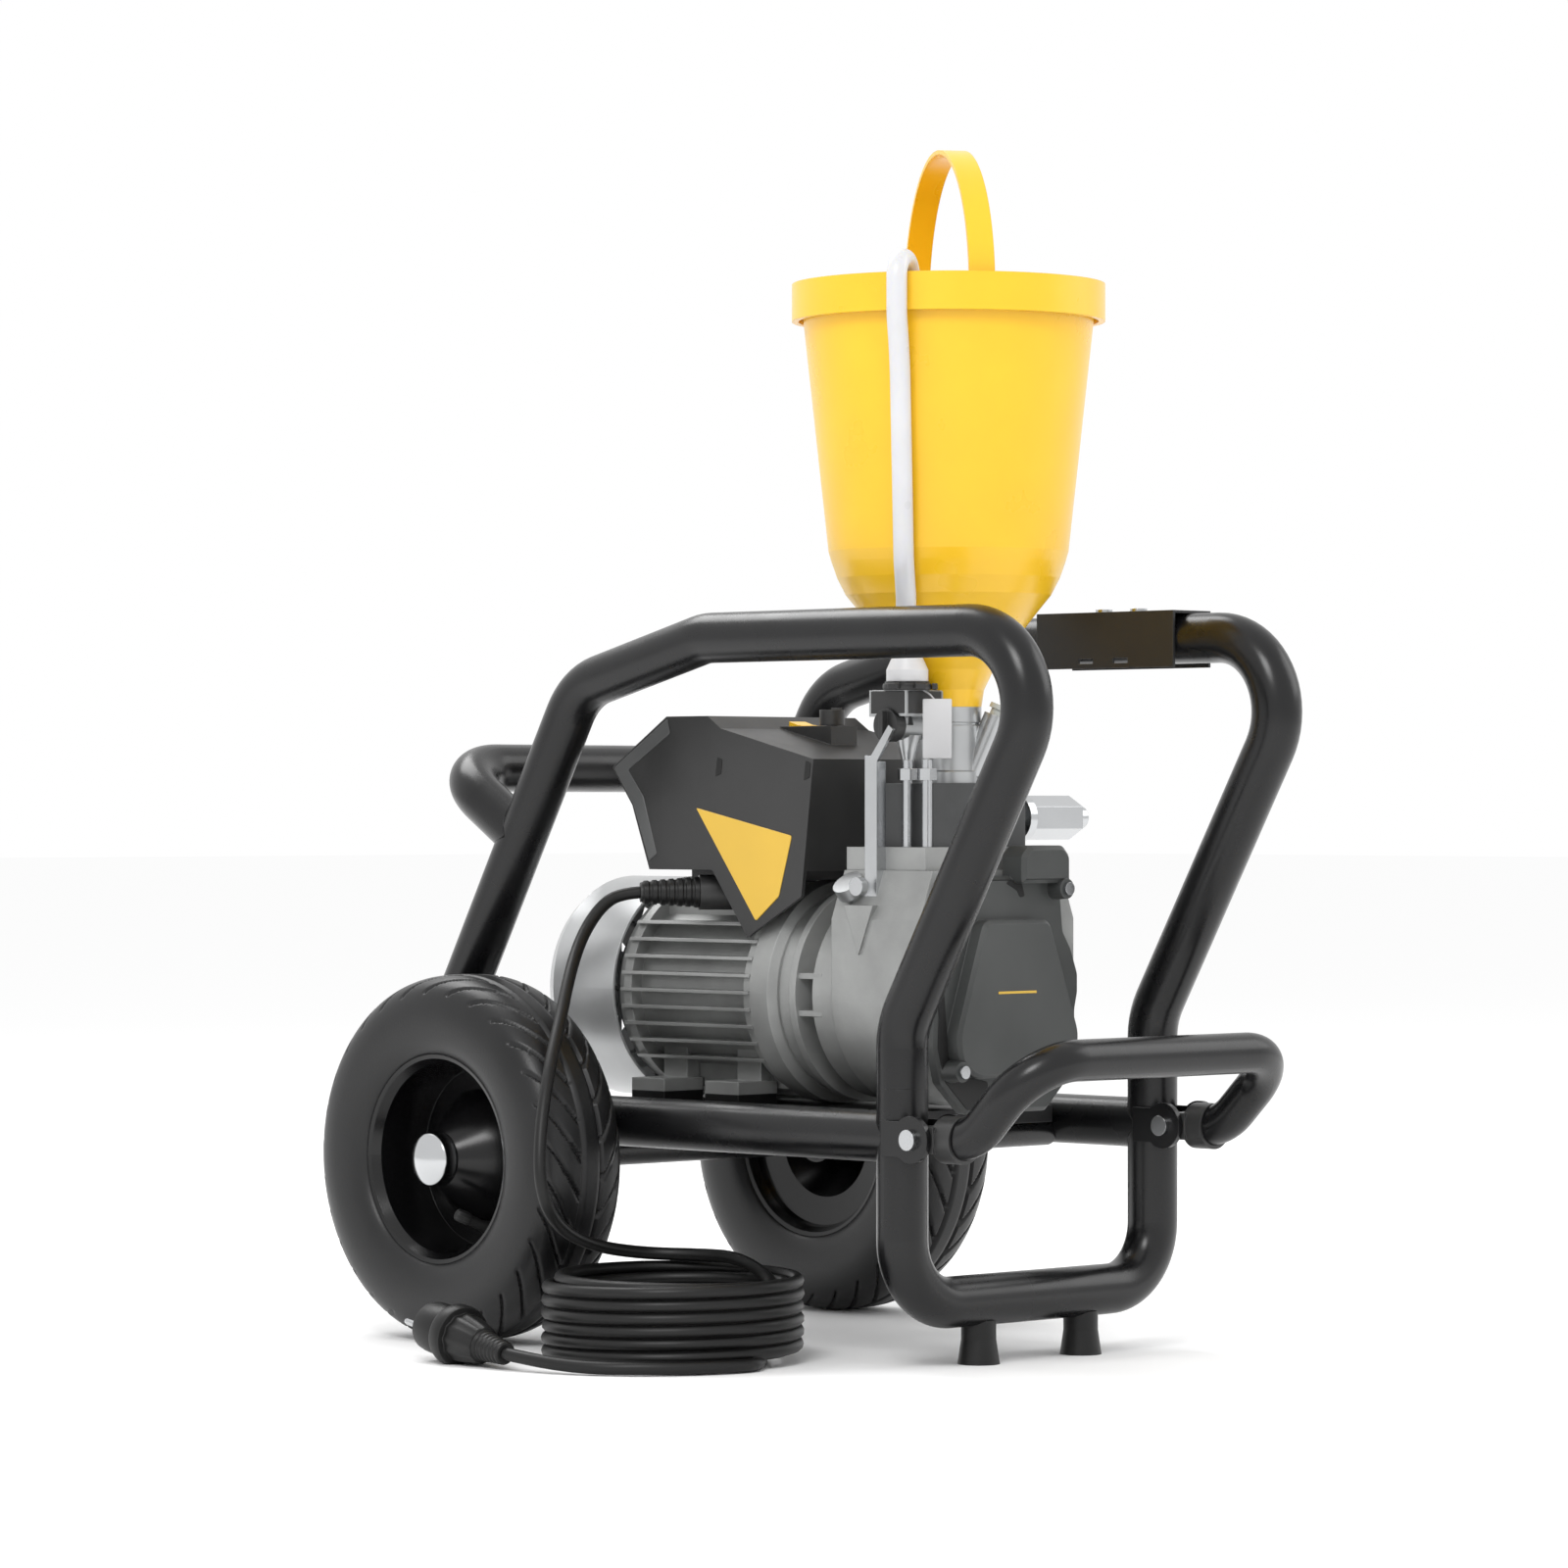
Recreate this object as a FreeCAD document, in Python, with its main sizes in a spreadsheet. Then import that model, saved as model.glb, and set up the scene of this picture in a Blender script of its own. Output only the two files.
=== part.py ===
import FreeCAD, Part

import math
import os
import re

import Sketcher
from FreeCAD import Placement, Rotation, Vector

# Airless paint sprayer on a two-wheel tubular trolley, in millimetres.
# +Z is up, the ground is Z = 0, X = 0 is the middle plane, and the pump end faces -Y.

doc = FreeCAD.newDocument("airless_sprayer")

# Driving dimensions: alias, value, what it is.
SIZES = [
    ("tube_d", 35, "frame tube diameter"),
    ("frame_w", 250, "side frames, centre to centre"),
    ("upright_y", -183, "front uprights"),
    ("hoop_z", 43.5, "bottom bar of the front hoop"),
    ("hoop_bend", 45, "corner radius of the hoop"),
    ("hoop_top", 190, "weld between hoop and side frames"),
    ("slant_z", 231, "where the uprights start to lean"),
    ("slant_deg", 30, "lean of the uprights and the rear legs"),
    ("top_z", 496, "top bars"),
    ("frame_bend", 52, "bend radius of the side frames"),
    ("rear_slope_y", 8, "where the top bars start to fall"),
    ("rear_slope_deg", 14, "fall of the top bars"),
    ("rear_top_y", 138, "top of the rear legs"),
    ("rail_z", 157, "lower rails"),
    ("rear_handle_y", 279, "crossbar of the rear handle"),
    ("rear_handle_z", 407, "height of the rear handle"),
    ("rear_handle_weld", 357, "height where it meets the rear legs"),
    ("rear_handle_bend", 45, "corner radius of the rear handle"),
    ("cross_d", 25, "cross tube diameter"),
    ("cross_front_y", -90, "front cross tube"),
    ("cross_rear_y", 120, "rear cross tube"),
    ("plate_w", 200, "base plate width"),
    ("plate_len", 250, "base plate length"),
    ("plate_t", 5, "base plate thickness"),
    ("foot_gap", 102, "rubber feet, centre to centre"),
    ("foot_top_d", 24, "foot diameter at the bar"),
    ("foot_base_d", 29, "foot diameter on the ground"),
    ("axle_y", 188, "wheel axle"),
    ("axle_z", 130, "axle height, the wheel radius"),
    ("axle_d", 16, "axle diameter"),
    ("axle_tube_d", 24, "tube round the axle"),
    ("track_w", 372, "wheels, centre to centre"),
    ("wheel_d", 260, "tyre diameter"),
    ("tyre_w", 80, "tyre width"),
    ("tyre_wall", 6, "tyre wall"),
    ("rim_d", 144, "bead seat diameter"),
    ("rim_wall", 5, "rim wall"),
    ("hub_d", 37, "hub end diameter"),
    ("hub_w", 54, "hub length"),
    ("wheel_bearing_d", 28, "wheel bearing outside"),
    ("wheel_bearing_w", 12, "wheel bearing width"),
    ("cap_d", 38.7, "axle cap diameter"),
    ("cap_l", 17, "axle cap length"),
    ("spin_gap", 0.05, "radial clearance of a running shaft"),
    ("free_gap", 0.5, "clearance beside a moving face"),
    ("pivot_y_gap", 27.5, "handle pivot ahead of the upright"),
    ("pivot_d", 8, "handle pivot bolt"),
    ("eye_r", 9, "eye of the handle sleeve"),
    ("sleeve_d", 32, "handle sleeve diameter"),
    ("sleeve_l", 31, "handle sleeve, from the pivot"),
    ("cheek_t", 4, "cheek of a handle bracket"),
    ("cheek_r", 16, "round of a handle bracket"),
    ("grip_d", 28, "front handle tube"),
    ("grip_bend", 40, "bend radius of the front handle"),
    ("grip_knee", 38.5, "first bend, ahead of the pivot"),
    ("grip_reach", 93.5, "crossbar, ahead of the pivot"),
    ("grip_rise", 54, "crossbar above the pivot"),
    ("saddle_l", 130, "saddle on the right top bar"),
    ("saddle_y", -155, "middle of the saddle"),
    ("saddle_t", 2, "saddle sheet"),
    ("saddle_drop", 20, "saddle below the bar's middle"),
    ("saddle_bolt_gap", 33, "saddle bolts, centre to centre"),
    ("small_head_d", 14, "frame bolt heads"),
    ("motor_z", 248, "motor and pump axis"),
    ("motor_d", 156, "over the motor fins"),
    ("core_d", 130, "motor housing between the fins"),
    ("bore_d", 112, "motor bore"),
    ("motor_front", 15, "front face of the motor housing"),
    ("motor_back", 147, "rear face of the motor housing"),
    ("fin_t", 2.4, "fin thickness"),
    ("fin_gap", 12, "fin pitch"),
    ("foot_w", 38, "motor foot width"),
    ("foot_l", 34, "motor foot length"),
    ("foot_t", 9, "motor foot thickness"),
    ("foot_x", 58, "motor foot from the middle"),
    ("pad_t", 8, "rubber pad under a motor foot"),
    ("shield_t", 6, "rear end shield"),
    ("cover_d", 160, "fan cover diameter"),
    ("cover_t", 2, "fan cover sheet"),
    ("cover_l", 76, "fan cover length"),
    ("flange_d", 158, "end shield flange"),
    ("flange_t", 24, "end shield flange length"),
    ("bell_l", 58, "bell housing length"),
    ("air_gap", 0.5, "gap between rotor and stator"),
    ("stator_d", 70, "stator bore"),
    ("stator_l", 90, "stator length"),
    ("shaft_d", 20, "motor shaft"),
    ("ball_d", 42, "motor bearing outside"),
    ("ball_w", 12, "motor bearing width"),
    ("fan_d", 132, "cooling fan"),
    ("fan_l", 26, "fan blade length"),
    ("stroke_r", 6, "offset of the eccentric"),
    ("eccentric_d", 56, "eccentric diameter"),
    ("eccentric_l", 25, "eccentric length"),
    ("pump_w", 154, "oil housing width"),
    ("pump_l", 85, "oil housing length"),
    ("pump_top", 335, "top of the oil housing"),
    ("sump_d", 124, "chamber round the eccentric"),
    ("piston_d", 30, "piston diameter"),
    ("piston_gap", 0.4, "clearance over the eccentric"),
    ("spring_wire", 3, "piston spring wire"),
    ("front_l", 22, "front cover depth"),
    ("front_t", 3, "front cover wall"),
    ("head_w", 124, "head block width"),
    ("head_l", 76, "head block length"),
    ("head_t", 16, "head block height"),
    ("pump_y", -105, "axis of pump head and hopper"),
    ("manifold_w", 92, "manifold width"),
    ("manifold_l", 60, "manifold length"),
    ("manifold_t", 44, "manifold height"),
    ("inlet_d", 46, "inlet housing diameter"),
    ("neck_z", 448, "bottom of the hopper neck"),
    ("neck_d", 46, "hopper neck diameter"),
    ("stud_d", 7, "clamp stud diameter"),
    ("stud_l", 60, "clamp stud length"),
    ("stay_l", 84, "stay bar height"),
    ("stay_w", 9, "stay bar thickness"),
    ("cap_screw_d", 22, "oil filler cap"),
    ("pusher_d", 18, "inlet pusher guide"),
    ("button_d", 11, "inlet pusher button"),
    ("button_l", 22, "button length"),
    ("relief_z", 435, "relief valve axis"),
    ("relief_d", 20, "relief valve body"),
    ("relief_knob_d", 23, "relief valve knob"),
    ("relief_knob_l", 9, "relief valve knob length"),
    ("stem_d", 8, "knob stems"),
    ("outlet_z", 371, "outlet axis"),
    ("outlet_thread_d", 16, "outlet thread"),
    ("outlet_thread_l", 12, "outlet thread length"),
    ("outlet_end", 135, "end of the outlet"),
    ("hex_af", 27, "outlet hexagon across flats"),
    ("hopper_d", 205, "hopper below its rim"),
    ("hopper_low_d", 167, "hopper above its round bottom"),
    ("hopper_rim_d", 218, "hopper rim"),
    ("hopper_rim_l", 26, "skirt of the rim"),
    ("hopper_top", 742, "top of the hopper"),
    ("hopper_low_z", 556, "start of the round bottom"),
    ("hopper_wall", 3, "hopper wall"),
    ("bail_w", 18, "bail strap width"),
    ("bail_t", 3, "bail strap thickness"),
    ("bail_rise", 93, "bail above the rim"),
    ("bail_pivot_r", 96.5, "bail pivots from the hopper axis"),
    ("bail_turn", 58.3, "direction of the bail pivots"),
    ("bail_pin_d", 8, "bail pivot pin"),
    ("hose_d", 14, "return hose"),
    ("hose_x", -50, "return connector"),
    ("hose_y", -114, "return connector"),
    ("fitting_d", 29, "return connector diameter"),
    ("fitting_l", 18, "return connector length"),
    ("collar_l", 6, "clamp collar under the return connector"),
    ("box_w", 148, "controller width"),
    ("box_wall", 3, "controller wall"),
    ("box_floor", 334, "underside of the controller"),
    ("console_w", 26, "switch console width"),
    ("console_l", 52, "switch console length"),
    ("console_z", 436, "top of the switch console"),
    ("console_y", -2, "front of the switch console"),
    ("rocker_w", 16, "power switch width"),
    ("rocker_l", 22, "power switch length"),
    ("knob_d", 18, "pressure knob"),
    ("knob_h", 11, "pressure knob height"),
    ("gland_d", 25, "cable gland nut"),
    ("gland_l", 22, "cable gland nut length"),
    ("relief_l", 42, "strain relief length"),
    ("cord_d", 9, "mains cord"),
    ("coil_r", 90, "outside of the cord coil"),
    ("coil_ring", 20, "radial width of the coil"),
    ("coil_x", -188, "middle of the coil"),
    ("coil_y", -25, "middle of the coil"),
    ("coil_turns", 7, "layers of the coil"),
    ("plug_d", 43, "plug head diameter"),
]

sheet = doc.addObject("Spreadsheet::Sheet", "Sizes")
S = {}
for row, (alias, value, note) in enumerate(SIZES, 1):
    sheet.set(f"A{row}", alias)
    sheet.set(f"B{row}", str(value))
    sheet.set(f"C{row}", note)
    sheet.setAlias(f"B{row}", alias)
    S[alias] = float(value)
doc.recompute()

# Places and sizes that follow from the driving ones: name, formula.
PLACES = [
    ("tube_r", "tube_d / 2"),
    ("rail_x", "frame_w / 2"),
    ("front_top_y", "upright_y - (top_z - slant_z) * tan(slant_deg)"),
    ("rear_top_z", "top_z - (rear_top_y - rear_slope_y) * tan(rear_slope_deg)"),
    ("rear_low_y", "rear_top_y + (rear_top_z - rail_z) * tan(slant_deg)"),
    ("rear_weld_y", "rear_top_y + (rear_top_z - rear_handle_weld) * tan(slant_deg)"),
    ("pivot_y", "upright_y - pivot_y_gap"),
    ("plate_top", "motor_z - motor_d / 2 - 2"),
    ("cross_z", "plate_top - plate_t - cross_d / 2"),
    ("wheel_x", "track_w / 2"),
    ("wheel_r", "wheel_d / 2"),
    ("rim_r", "rim_d / 2"),
    ("tyre_half", "tyre_w / 2"),
    ("hub_end", "hub_w / 2"),
    ("hub_x", "wheel_x + hub_end"),
    ("axle_half", "hub_x + free_gap + cap_l * 0.6"),
    ("bell_front", "motor_front - flange_t - bell_l"),
    ("pump_front", "bell_front - pump_l"),
    ("front_face", "pump_front - front_l"),
    ("cover_start", "motor_back + shield_t"),
    ("cover_end", "cover_start + cover_l"),
    ("head_top", "pump_top + head_t"),
    ("manifold_top", "head_top + manifold_t"),
    ("sump_len", "pump_l - 20"),
    ("eccentric_y", "pump_front + 24"),
    ("eccentric_top", "motor_z + stroke_r + eccentric_d / 2"),
    ("inlet_r", "inlet_d / 2"),
    ("rim_x", "hopper_rim_d / 2"),
    ("hopper_r", "hopper_d / 2"),
    ("hopper_low_r", "hopper_low_d / 2"),
    ("bail_z", "hopper_top - 12"),
    ("box_half", "box_w / 2"),
    ("coil_high", "coil_turns * (cord_d - 0.1)"),
]

layout = doc.addObject("App::FeaturePython", "Layout")
L = {}


def link(formula):
    """Turns a formula's plain words into references to the sheet and the layout."""
    def swap(match):
        word = match.group(0)
        if word in S:
            return "Sizes." + word
        return "Layout." + word if word in L else word
    return re.sub(r"[A-Za-z_][A-Za-z_0-9]*", swap, str(formula))


for name, formula in PLACES:
    layout.addProperty("App::PropertyFloat", name)
    layout.setExpression(name, link(formula))
    L[name] = None
doc.recompute()
for name in L:
    L[name] = getattr(layout, name)

PARTS = []
TURN = {"X": Rotation(Vector(0, 1, 0), 90), "Y": Rotation(Vector(1, 0, 0), -90), "Z": Rotation()}
SIDES = (("left", -1), ("right", 1))


def tie(item, **formulas):
    """Binds properties of an object to formulas of the sheet."""
    for field, formula in formulas.items():
        item.setExpression(field, link(formula))
    return item


def put(item, at, rotation=None):
    """Places an object at a point given by three formulas."""
    if rotation is not None:
        item.Placement = Placement(Vector(), rotation)
    for axis, formula in zip("xyz", at):
        item.setExpression("Placement.Base." + axis, link(formula))
    return item


def spot(point):
    """Writes a fixed point as three formulas."""
    return tuple(f"{c:.4f}" for c in point)


def keep(item, label):
    """Marks an object as a finished sub-part."""
    item.Label = label
    PARTS.append(item)
    return item


def rod(name, d, length, at, axis="Z", rotation=None):
    item = doc.addObject("Part::Cylinder", name)
    tie(item, Radius=f"({d}) / 2", Height=length)
    return put(item, at, rotation or TURN[axis])


def cone(name, d1, d2, length, at, axis="Z", rotation=None):
    item = doc.addObject("Part::Cone", name)
    tie(item, Radius1=f"({d1}) / 2", Radius2=f"({d2}) / 2", Height=length)
    return put(item, at, rotation or TURN[axis])


def block(name, size, at, rotation=None):
    item = doc.addObject("Part::Box", name)
    tie(item, Length=size[0], Width=size[1], Height=size[2])
    return put(item, at, rotation)


def hexagon(name, across, length, at, axis="Z"):
    item = doc.addObject("Part::Prism", name)
    item.Polygon = 6
    tie(item, Circumradius=f"({across}) / 2 / cos(30)", Height=length)
    return put(item, at, TURN[axis])


def fuse(name, items):
    item = doc.addObject("Part::MultiFuse", name)
    item.Shapes = items
    return item


def cut(name, base, *tools):
    item = doc.addObject("Part::Cut", name)
    item.Base = base
    item.Tool = tools[0] if len(tools) == 1 else fuse(name + "_tools", list(tools))
    return item


def common(name, first, second):
    item = doc.addObject("Part::Common", name)
    item.Base = first
    item.Tool = second
    return item


def group(name, items):
    """Holds like pieces of one node together as separate solids."""
    item = doc.addObject("Part::Compound", name)
    item.Links = items
    return item


def draw(sketch, outline):
    """Draws a closed polygon whose corners are bound to formulas."""
    count = len(outline)
    doc.recompute()
    probe = doc.addObject("App::FeaturePython", "Probe")
    for k, (u, v) in enumerate(outline):
        for tag, formula in (("u", u), ("v", v)):
            probe.addProperty("App::PropertyFloat", f"{tag}{k}")
            probe.setExpression(f"{tag}{k}", link(formula))
    doc.recompute()
    points = [Vector(getattr(probe, f"u{k}"), getattr(probe, f"v{k}"), 0) for k in range(count)]
    doc.removeObject(probe.Name)
    for k in range(count):
        sketch.addGeometry(Part.LineSegment(points[k], points[(k + 1) % count]), False)
    for k in range(count):
        sketch.addConstraint(Sketcher.Constraint("Coincident", k, 2, (k + 1) % count, 1))
    for k, (u, v) in enumerate(outline):
        for kind, value, formula in (("DistanceX", points[k].x, u), ("DistanceY", points[k].y, v)):
            index = sketch.addConstraint(Sketcher.Constraint(kind, -1, 1, k, 1, value))
            sketch.setExpression(f"Constraints[{index}]", link(formula))
    return sketch


def base_plane(body, role):
    return [plane for plane in body.Origin.OriginFeatures if plane.Role == role][0]


def body_sketch(body, name, role, outline):
    sketch = body.newObject("Sketcher::SketchObject", name)
    sketch.AttachmentSupport = [(base_plane(body, role), "")]
    sketch.MapMode = "FlatFace"
    return draw(sketch, outline)


def turned(name, outline, at, axis="X"):
    """Makes a body of revolution from corners given as (along the axis, radius)."""
    body = doc.addObject("PartDesign::Body", name)
    sketch = body_sketch(body, name + "_section", "XY_Plane", outline)
    solid = body.newObject("PartDesign::Revolution", name + "_turn")
    solid.Profile = sketch
    solid.ReferenceAxis = (sketch, ["H_Axis"])
    solid.Angle = 360
    body.Tip = solid
    spin = {"X": Rotation(), "Y": Rotation(Vector(0, 0, 1), 90), "Z": Rotation(Vector(0, 1, 0), -90)}
    return put(body, at, spin[axis])


def plate(name, outline, thick, at, facing="X"):
    """Makes a flat body from corners in the plane it faces, thick along +X, -Y or +Z."""
    role = {"X": "YZ_Plane", "Y": "XZ_Plane", "Z": "XY_Plane"}[facing]
    body = doc.addObject("PartDesign::Body", name)
    sketch = body_sketch(body, name + "_outline", role, outline)
    pad = body.newObject("PartDesign::Pad", name + "_pad")
    pad.Profile = sketch
    tie(pad, Length=thick)
    body.Tip = pad
    return put(body, at)


def corner_arc(before, corner, after, radius):
    """Gives the two tangent points and the middle of a rounded corner."""
    back = (before - corner).normalize()
    ahead = (after - corner).normalize()
    half = back.getAngle(ahead) / 2
    reach = radius / math.tan(half)
    inward = (back + ahead).normalize()
    middle = corner + inward * (radius / math.sin(half) - radius)
    return corner + back * reach, middle, corner + ahead * reach


def tube_path(points, radii, closed=False):
    """Joins straight runs with tangent arcs."""
    edges = []
    last = points[0]
    for k in range(1, len(points) - 1):
        start, middle, end = corner_arc(points[k - 1], points[k], points[k + 1], radii[k - 1])
        if (start - last).Length > 1e-6:
            edges.append(Part.LineSegment(last, start).toShape())
        edges.append(Part.Arc(start, middle, end).toShape())
        last = end
    if (points[-1] - last).Length > 1e-6:
        edges.append(Part.LineSegment(last, points[-1]).toShape())
    return Part.Wire(edges)


def bent_tube(name, points, bend, d):
    """Sweeps a round bar along runs joined by arcs of one radius, or of a list of them."""
    radii = bend if isinstance(bend, list) else [bend] * (len(points) - 2)
    path = tube_path(points, radii)
    start = points[0]
    ring = Part.Wire([Part.Circle(start, points[1] - start, d / 2).toShape()])
    item = doc.addObject("Part::Feature", name)
    item.Shape = path.makePipeShell([ring], True, False, 2)
    item.Placement = Placement()
    return item


# ---------------------------------------------------------------- trolley frame

def front_hoop():
    """Bottom bar and the lower half of both uprights, bent from one tube."""
    x, y = L["rail_x"], S["upright_y"]
    points = [Vector(-x, y, S["hoop_top"]), Vector(-x, y, S["hoop_z"]),
              Vector(x, y, S["hoop_z"]), Vector(x, y, S["hoop_top"])]
    keep(group("HoopWeldment", [bent_tube("Hoop", points, S["hoop_bend"], S["tube_d"])] + cheeks()),
         "front_hoop")


def side_frame(side, sign):
    """Leaning upright, top bar, rear leg and lower rail, bent from one tube and coped to the hoop."""
    x = sign * L["rail_x"]
    profile = [(S["upright_y"], S["hoop_top"]), (S["upright_y"], S["slant_z"]),
               (L["front_top_y"], S["top_z"]),
               (S["rear_slope_y"], S["top_z"]), (S["rear_top_y"], L["rear_top_z"]),
               (L["rear_low_y"], S["rail_z"]), (S["upright_y"], S["rail_z"])]
    sweep = bent_tube(f"SideTube_{side}", [Vector(x, y, z) for y, z in profile], S["frame_bend"],
                      S["tube_d"])
    cope = rod(f"SideCope_{side}", "tube_d", "hoop_top", (f"{sign} * rail_x", "upright_y", "0"))
    return keep(cut(f"SideFrame_{side}", sweep, cope), f"side_frame_{side}")


def rear_handle(frames):
    """Fixed lifting loop behind the rear legs, coped to them."""
    x = L["rail_x"]
    low = (L["rear_weld_y"], S["rear_handle_weld"])
    high = (S["rear_handle_y"], S["rear_handle_z"])
    points = [Vector(-x, *low), Vector(-x, *high), Vector(x, *high), Vector(x, *low)]
    loop = bent_tube("RearLoop", points, S["rear_handle_bend"], S["tube_d"])
    keep(cut("RearHandle", loop, *frames), "rear_handle")


def cross_members():
    """Two cross tubes under the base plate and the tube round the axle, coped to the rails."""
    reach = "frame_w - tube_d + 14"
    start = "0 - (frame_w - tube_d + 14) / 2"
    rails = [rod(f"CrossCope_{side}", "tube_d", "600", (f"{sign} * rail_x", "-300", "rail_z"), "Y")
             for side, sign in SIDES]
    front = rod("CrossFront", "cross_d", reach, (start, "cross_front_y", "cross_z"), "X")
    rear = rod("CrossRear", "cross_d", reach, (start, "cross_rear_y", "cross_z"), "X")
    length = "2 * (wheel_x - tyre_half) - 4"
    outer = rod("AxleSleeve", "axle_tube_d", length, (f"0 - ({length}) / 2", "axle_y", "axle_z"), "X")
    bore = rod("AxleSleeveBore", "axle_d", length, (f"0 - ({length}) / 2", "axle_y", "axle_z"), "X")
    sleeve = cut("AxleTube", outer, bore)
    tubes = [cut(f"Cross_{k}", tube, *rails) for k, tube in enumerate((front, rear, sleeve))]
    keep(group("CrossMembers", tubes), "cross_members")


def base_plate():
    """Sheet that carries motor and pump, with a folded lip front and rear and four fixing holes."""
    sheet_z = "plate_top - plate_t"
    middle = "(cross_front_y + cross_rear_y) / 2"
    flat = block("PlateFlat", ("plate_w", "plate_len", "plate_t"),
                 ("0 - plate_w / 2", f"{middle} - plate_len / 2", sheet_z))
    lips = [block(f"PlateLip_{k}", ("plate_w", "plate_t", "12"), ("0 - plate_w / 2", y, "plate_top - 12"))
            for k, y in enumerate((f"{middle} - plate_len / 2", f"{middle} + plate_len / 2 - plate_t"))]
    holes = [rod(f"PlateHole_{k}", "9", "plate_t", (f"{sx} * foot_x", y, sheet_z))
             for k, (sx, y) in enumerate((sx, y) for sx in (-1, 1) for y in ("motor_front + 28",
                     "motor_back - 28"))]
    keep(cut("BasePlate", fuse("PlateFolded", [flat] + lips), *holes), "base_plate")


def rubber_feet():
    """Two tapered rubber feet under the bottom bar."""
    bar = rod("FootCope", "tube_d", "frame_w", ("0 - rail_x", "upright_y", "hoop_z"), "X")
    feet = []
    for side, sign in SIDES:
        x = f"{sign} * foot_gap / 2"
        taper = cone(f"FootTaper_{side}", "foot_base_d", "foot_top_d", "hoop_z - tube_r - 9",
                     (x, "upright_y", "0"))
        stem = rod(f"FootStem_{side}", "foot_top_d", "hoop_z - tube_r", (x, "upright_y", "4"))
        feet.append(cut(f"Foot_{side}", fuse(f"FootBody_{side}", [taper, stem]), bar))
    keep(group("RubberFeet", feet), "rubber_feet")


def tool_saddle():
    """Folded sheet saddle over the right top bar, with two slots near its lower edge."""
    y0 = "saddle_y - saddle_l / 2"
    outer = block("SaddleOuter", ("tube_d + 2 * saddle_t", "saddle_l", "tube_r + saddle_t + saddle_drop"),
                  ("rail_x - tube_r - saddle_t", y0, "top_z - saddle_drop"))
    inner = block("SaddleInner", ("tube_d", "saddle_l", "tube_r + saddle_drop"),
                  ("rail_x - tube_r", y0, "top_z - saddle_drop"))
    slots = [block(f"SaddleSlot_{k}", ("tube_d + 2 * saddle_t + 2", "14", "3.4"),
                   ("rail_x - tube_r - saddle_t - 1", f"saddle_y + 51 + {k} * saddle_bolt_gap - 40",
                    "top_z - 16.5"))
             for k in (-1, 0)]
    keep(cut("Saddle", outer, inner, *slots), "tool_saddle")


def cheeks():
    """Two cheeks each side of an upright, coped to it, that hold the pivots of the front handle."""
    sheets = []
    for side, sign in SIDES:
        tube = rod(f"CheekCope_{side}", "tube_d", "hoop_top", (f"{sign} * rail_x", "upright_y", "0"))
        for k, inner in enumerate(("tube_r - 0.5", "0 - tube_r + 0.5 - cheek_t")):
            x = f"{sign} * rail_x + ({inner})"
            disc = rod(f"CheekDisc_{side}_{k}", "2 * cheek_r", "cheek_t", (x, "pivot_y", "rail_z"), "X")
            arm = block(f"CheekArm_{side}_{k}", ("cheek_t", "pivot_y_gap", "1.5 * cheek_r"),
                        (x, "pivot_y", "rail_z - 0.75 * cheek_r"))
            hole = rod(f"CheekHole_{side}_{k}", "pivot_d", "cheek_t", (x, "pivot_y", "rail_z"), "X")
            sheets.append(cut(f"Cheek_{side}_{k}", fuse(f"CheekBody_{side}_{k}", [disc, arm]), hole, tube))
    return sheets


# ---------------------------------------------------------------- front handle

def front_handle():
    """Folding loop that pivots on the uprights."""
    x, y, z = L["rail_x"], L["pivot_y"], S["rail_z"]
    start = y - S["eye_r"] - 9
    knee = y - S["grip_knee"]
    bar = (y - S["grip_reach"], z + S["grip_rise"])
    points = [Vector(x, start, z), Vector(x, knee, z), Vector(x, *bar),
              Vector(-x, *bar), Vector(-x, knee, z), Vector(-x, start, z)]
    return keep(bent_tube("FrontGrip", points, S["grip_bend"], S["grip_d"]), "front_handle")


def handle_sleeves(handle):
    """Black sleeves on the handle's ends, each with a flat eye round its pivot bolt."""
    sleeves = []
    for side, sign in SIDES:
        x = f"{sign} * rail_x"
        half = "(tube_r - 0.5 - free_gap)"
        eye = rod(f"EyeRound_{side}", "2 * eye_r", f"2 * {half}", (f"{x} - {half}", "pivot_y", "rail_z"),
                  "X")
        tongue = block(f"EyeTongue_{side}", (f"2 * {half}", "eye_r + 8", "2 * eye_r"),
                       (f"{x} - {half}", "pivot_y - eye_r - 8", "rail_z - eye_r"))
        barrel = rod(f"SleeveBarrel_{side}", "sleeve_d", "sleeve_l - eye_r - 5",
                     (x, "pivot_y - sleeve_l", "rail_z"), "Y")
        pin = rod(f"SleevePin_{side}", "pivot_d + 2 * spin_gap", f"2 * {half}",
                  (f"{x} - {half}", "pivot_y", "rail_z"), "X")
        body = fuse(f"SleeveBody_{side}", [eye, tongue, barrel])
        sleeves.append(cut(f"Sleeve_{side}", cut(f"SleeveSocket_{side}", body, handle), pin))
    keep(group("HandleSleeves", sleeves), "handle_sleeves")


# ---------------------------------------------------------------- wheels

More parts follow.
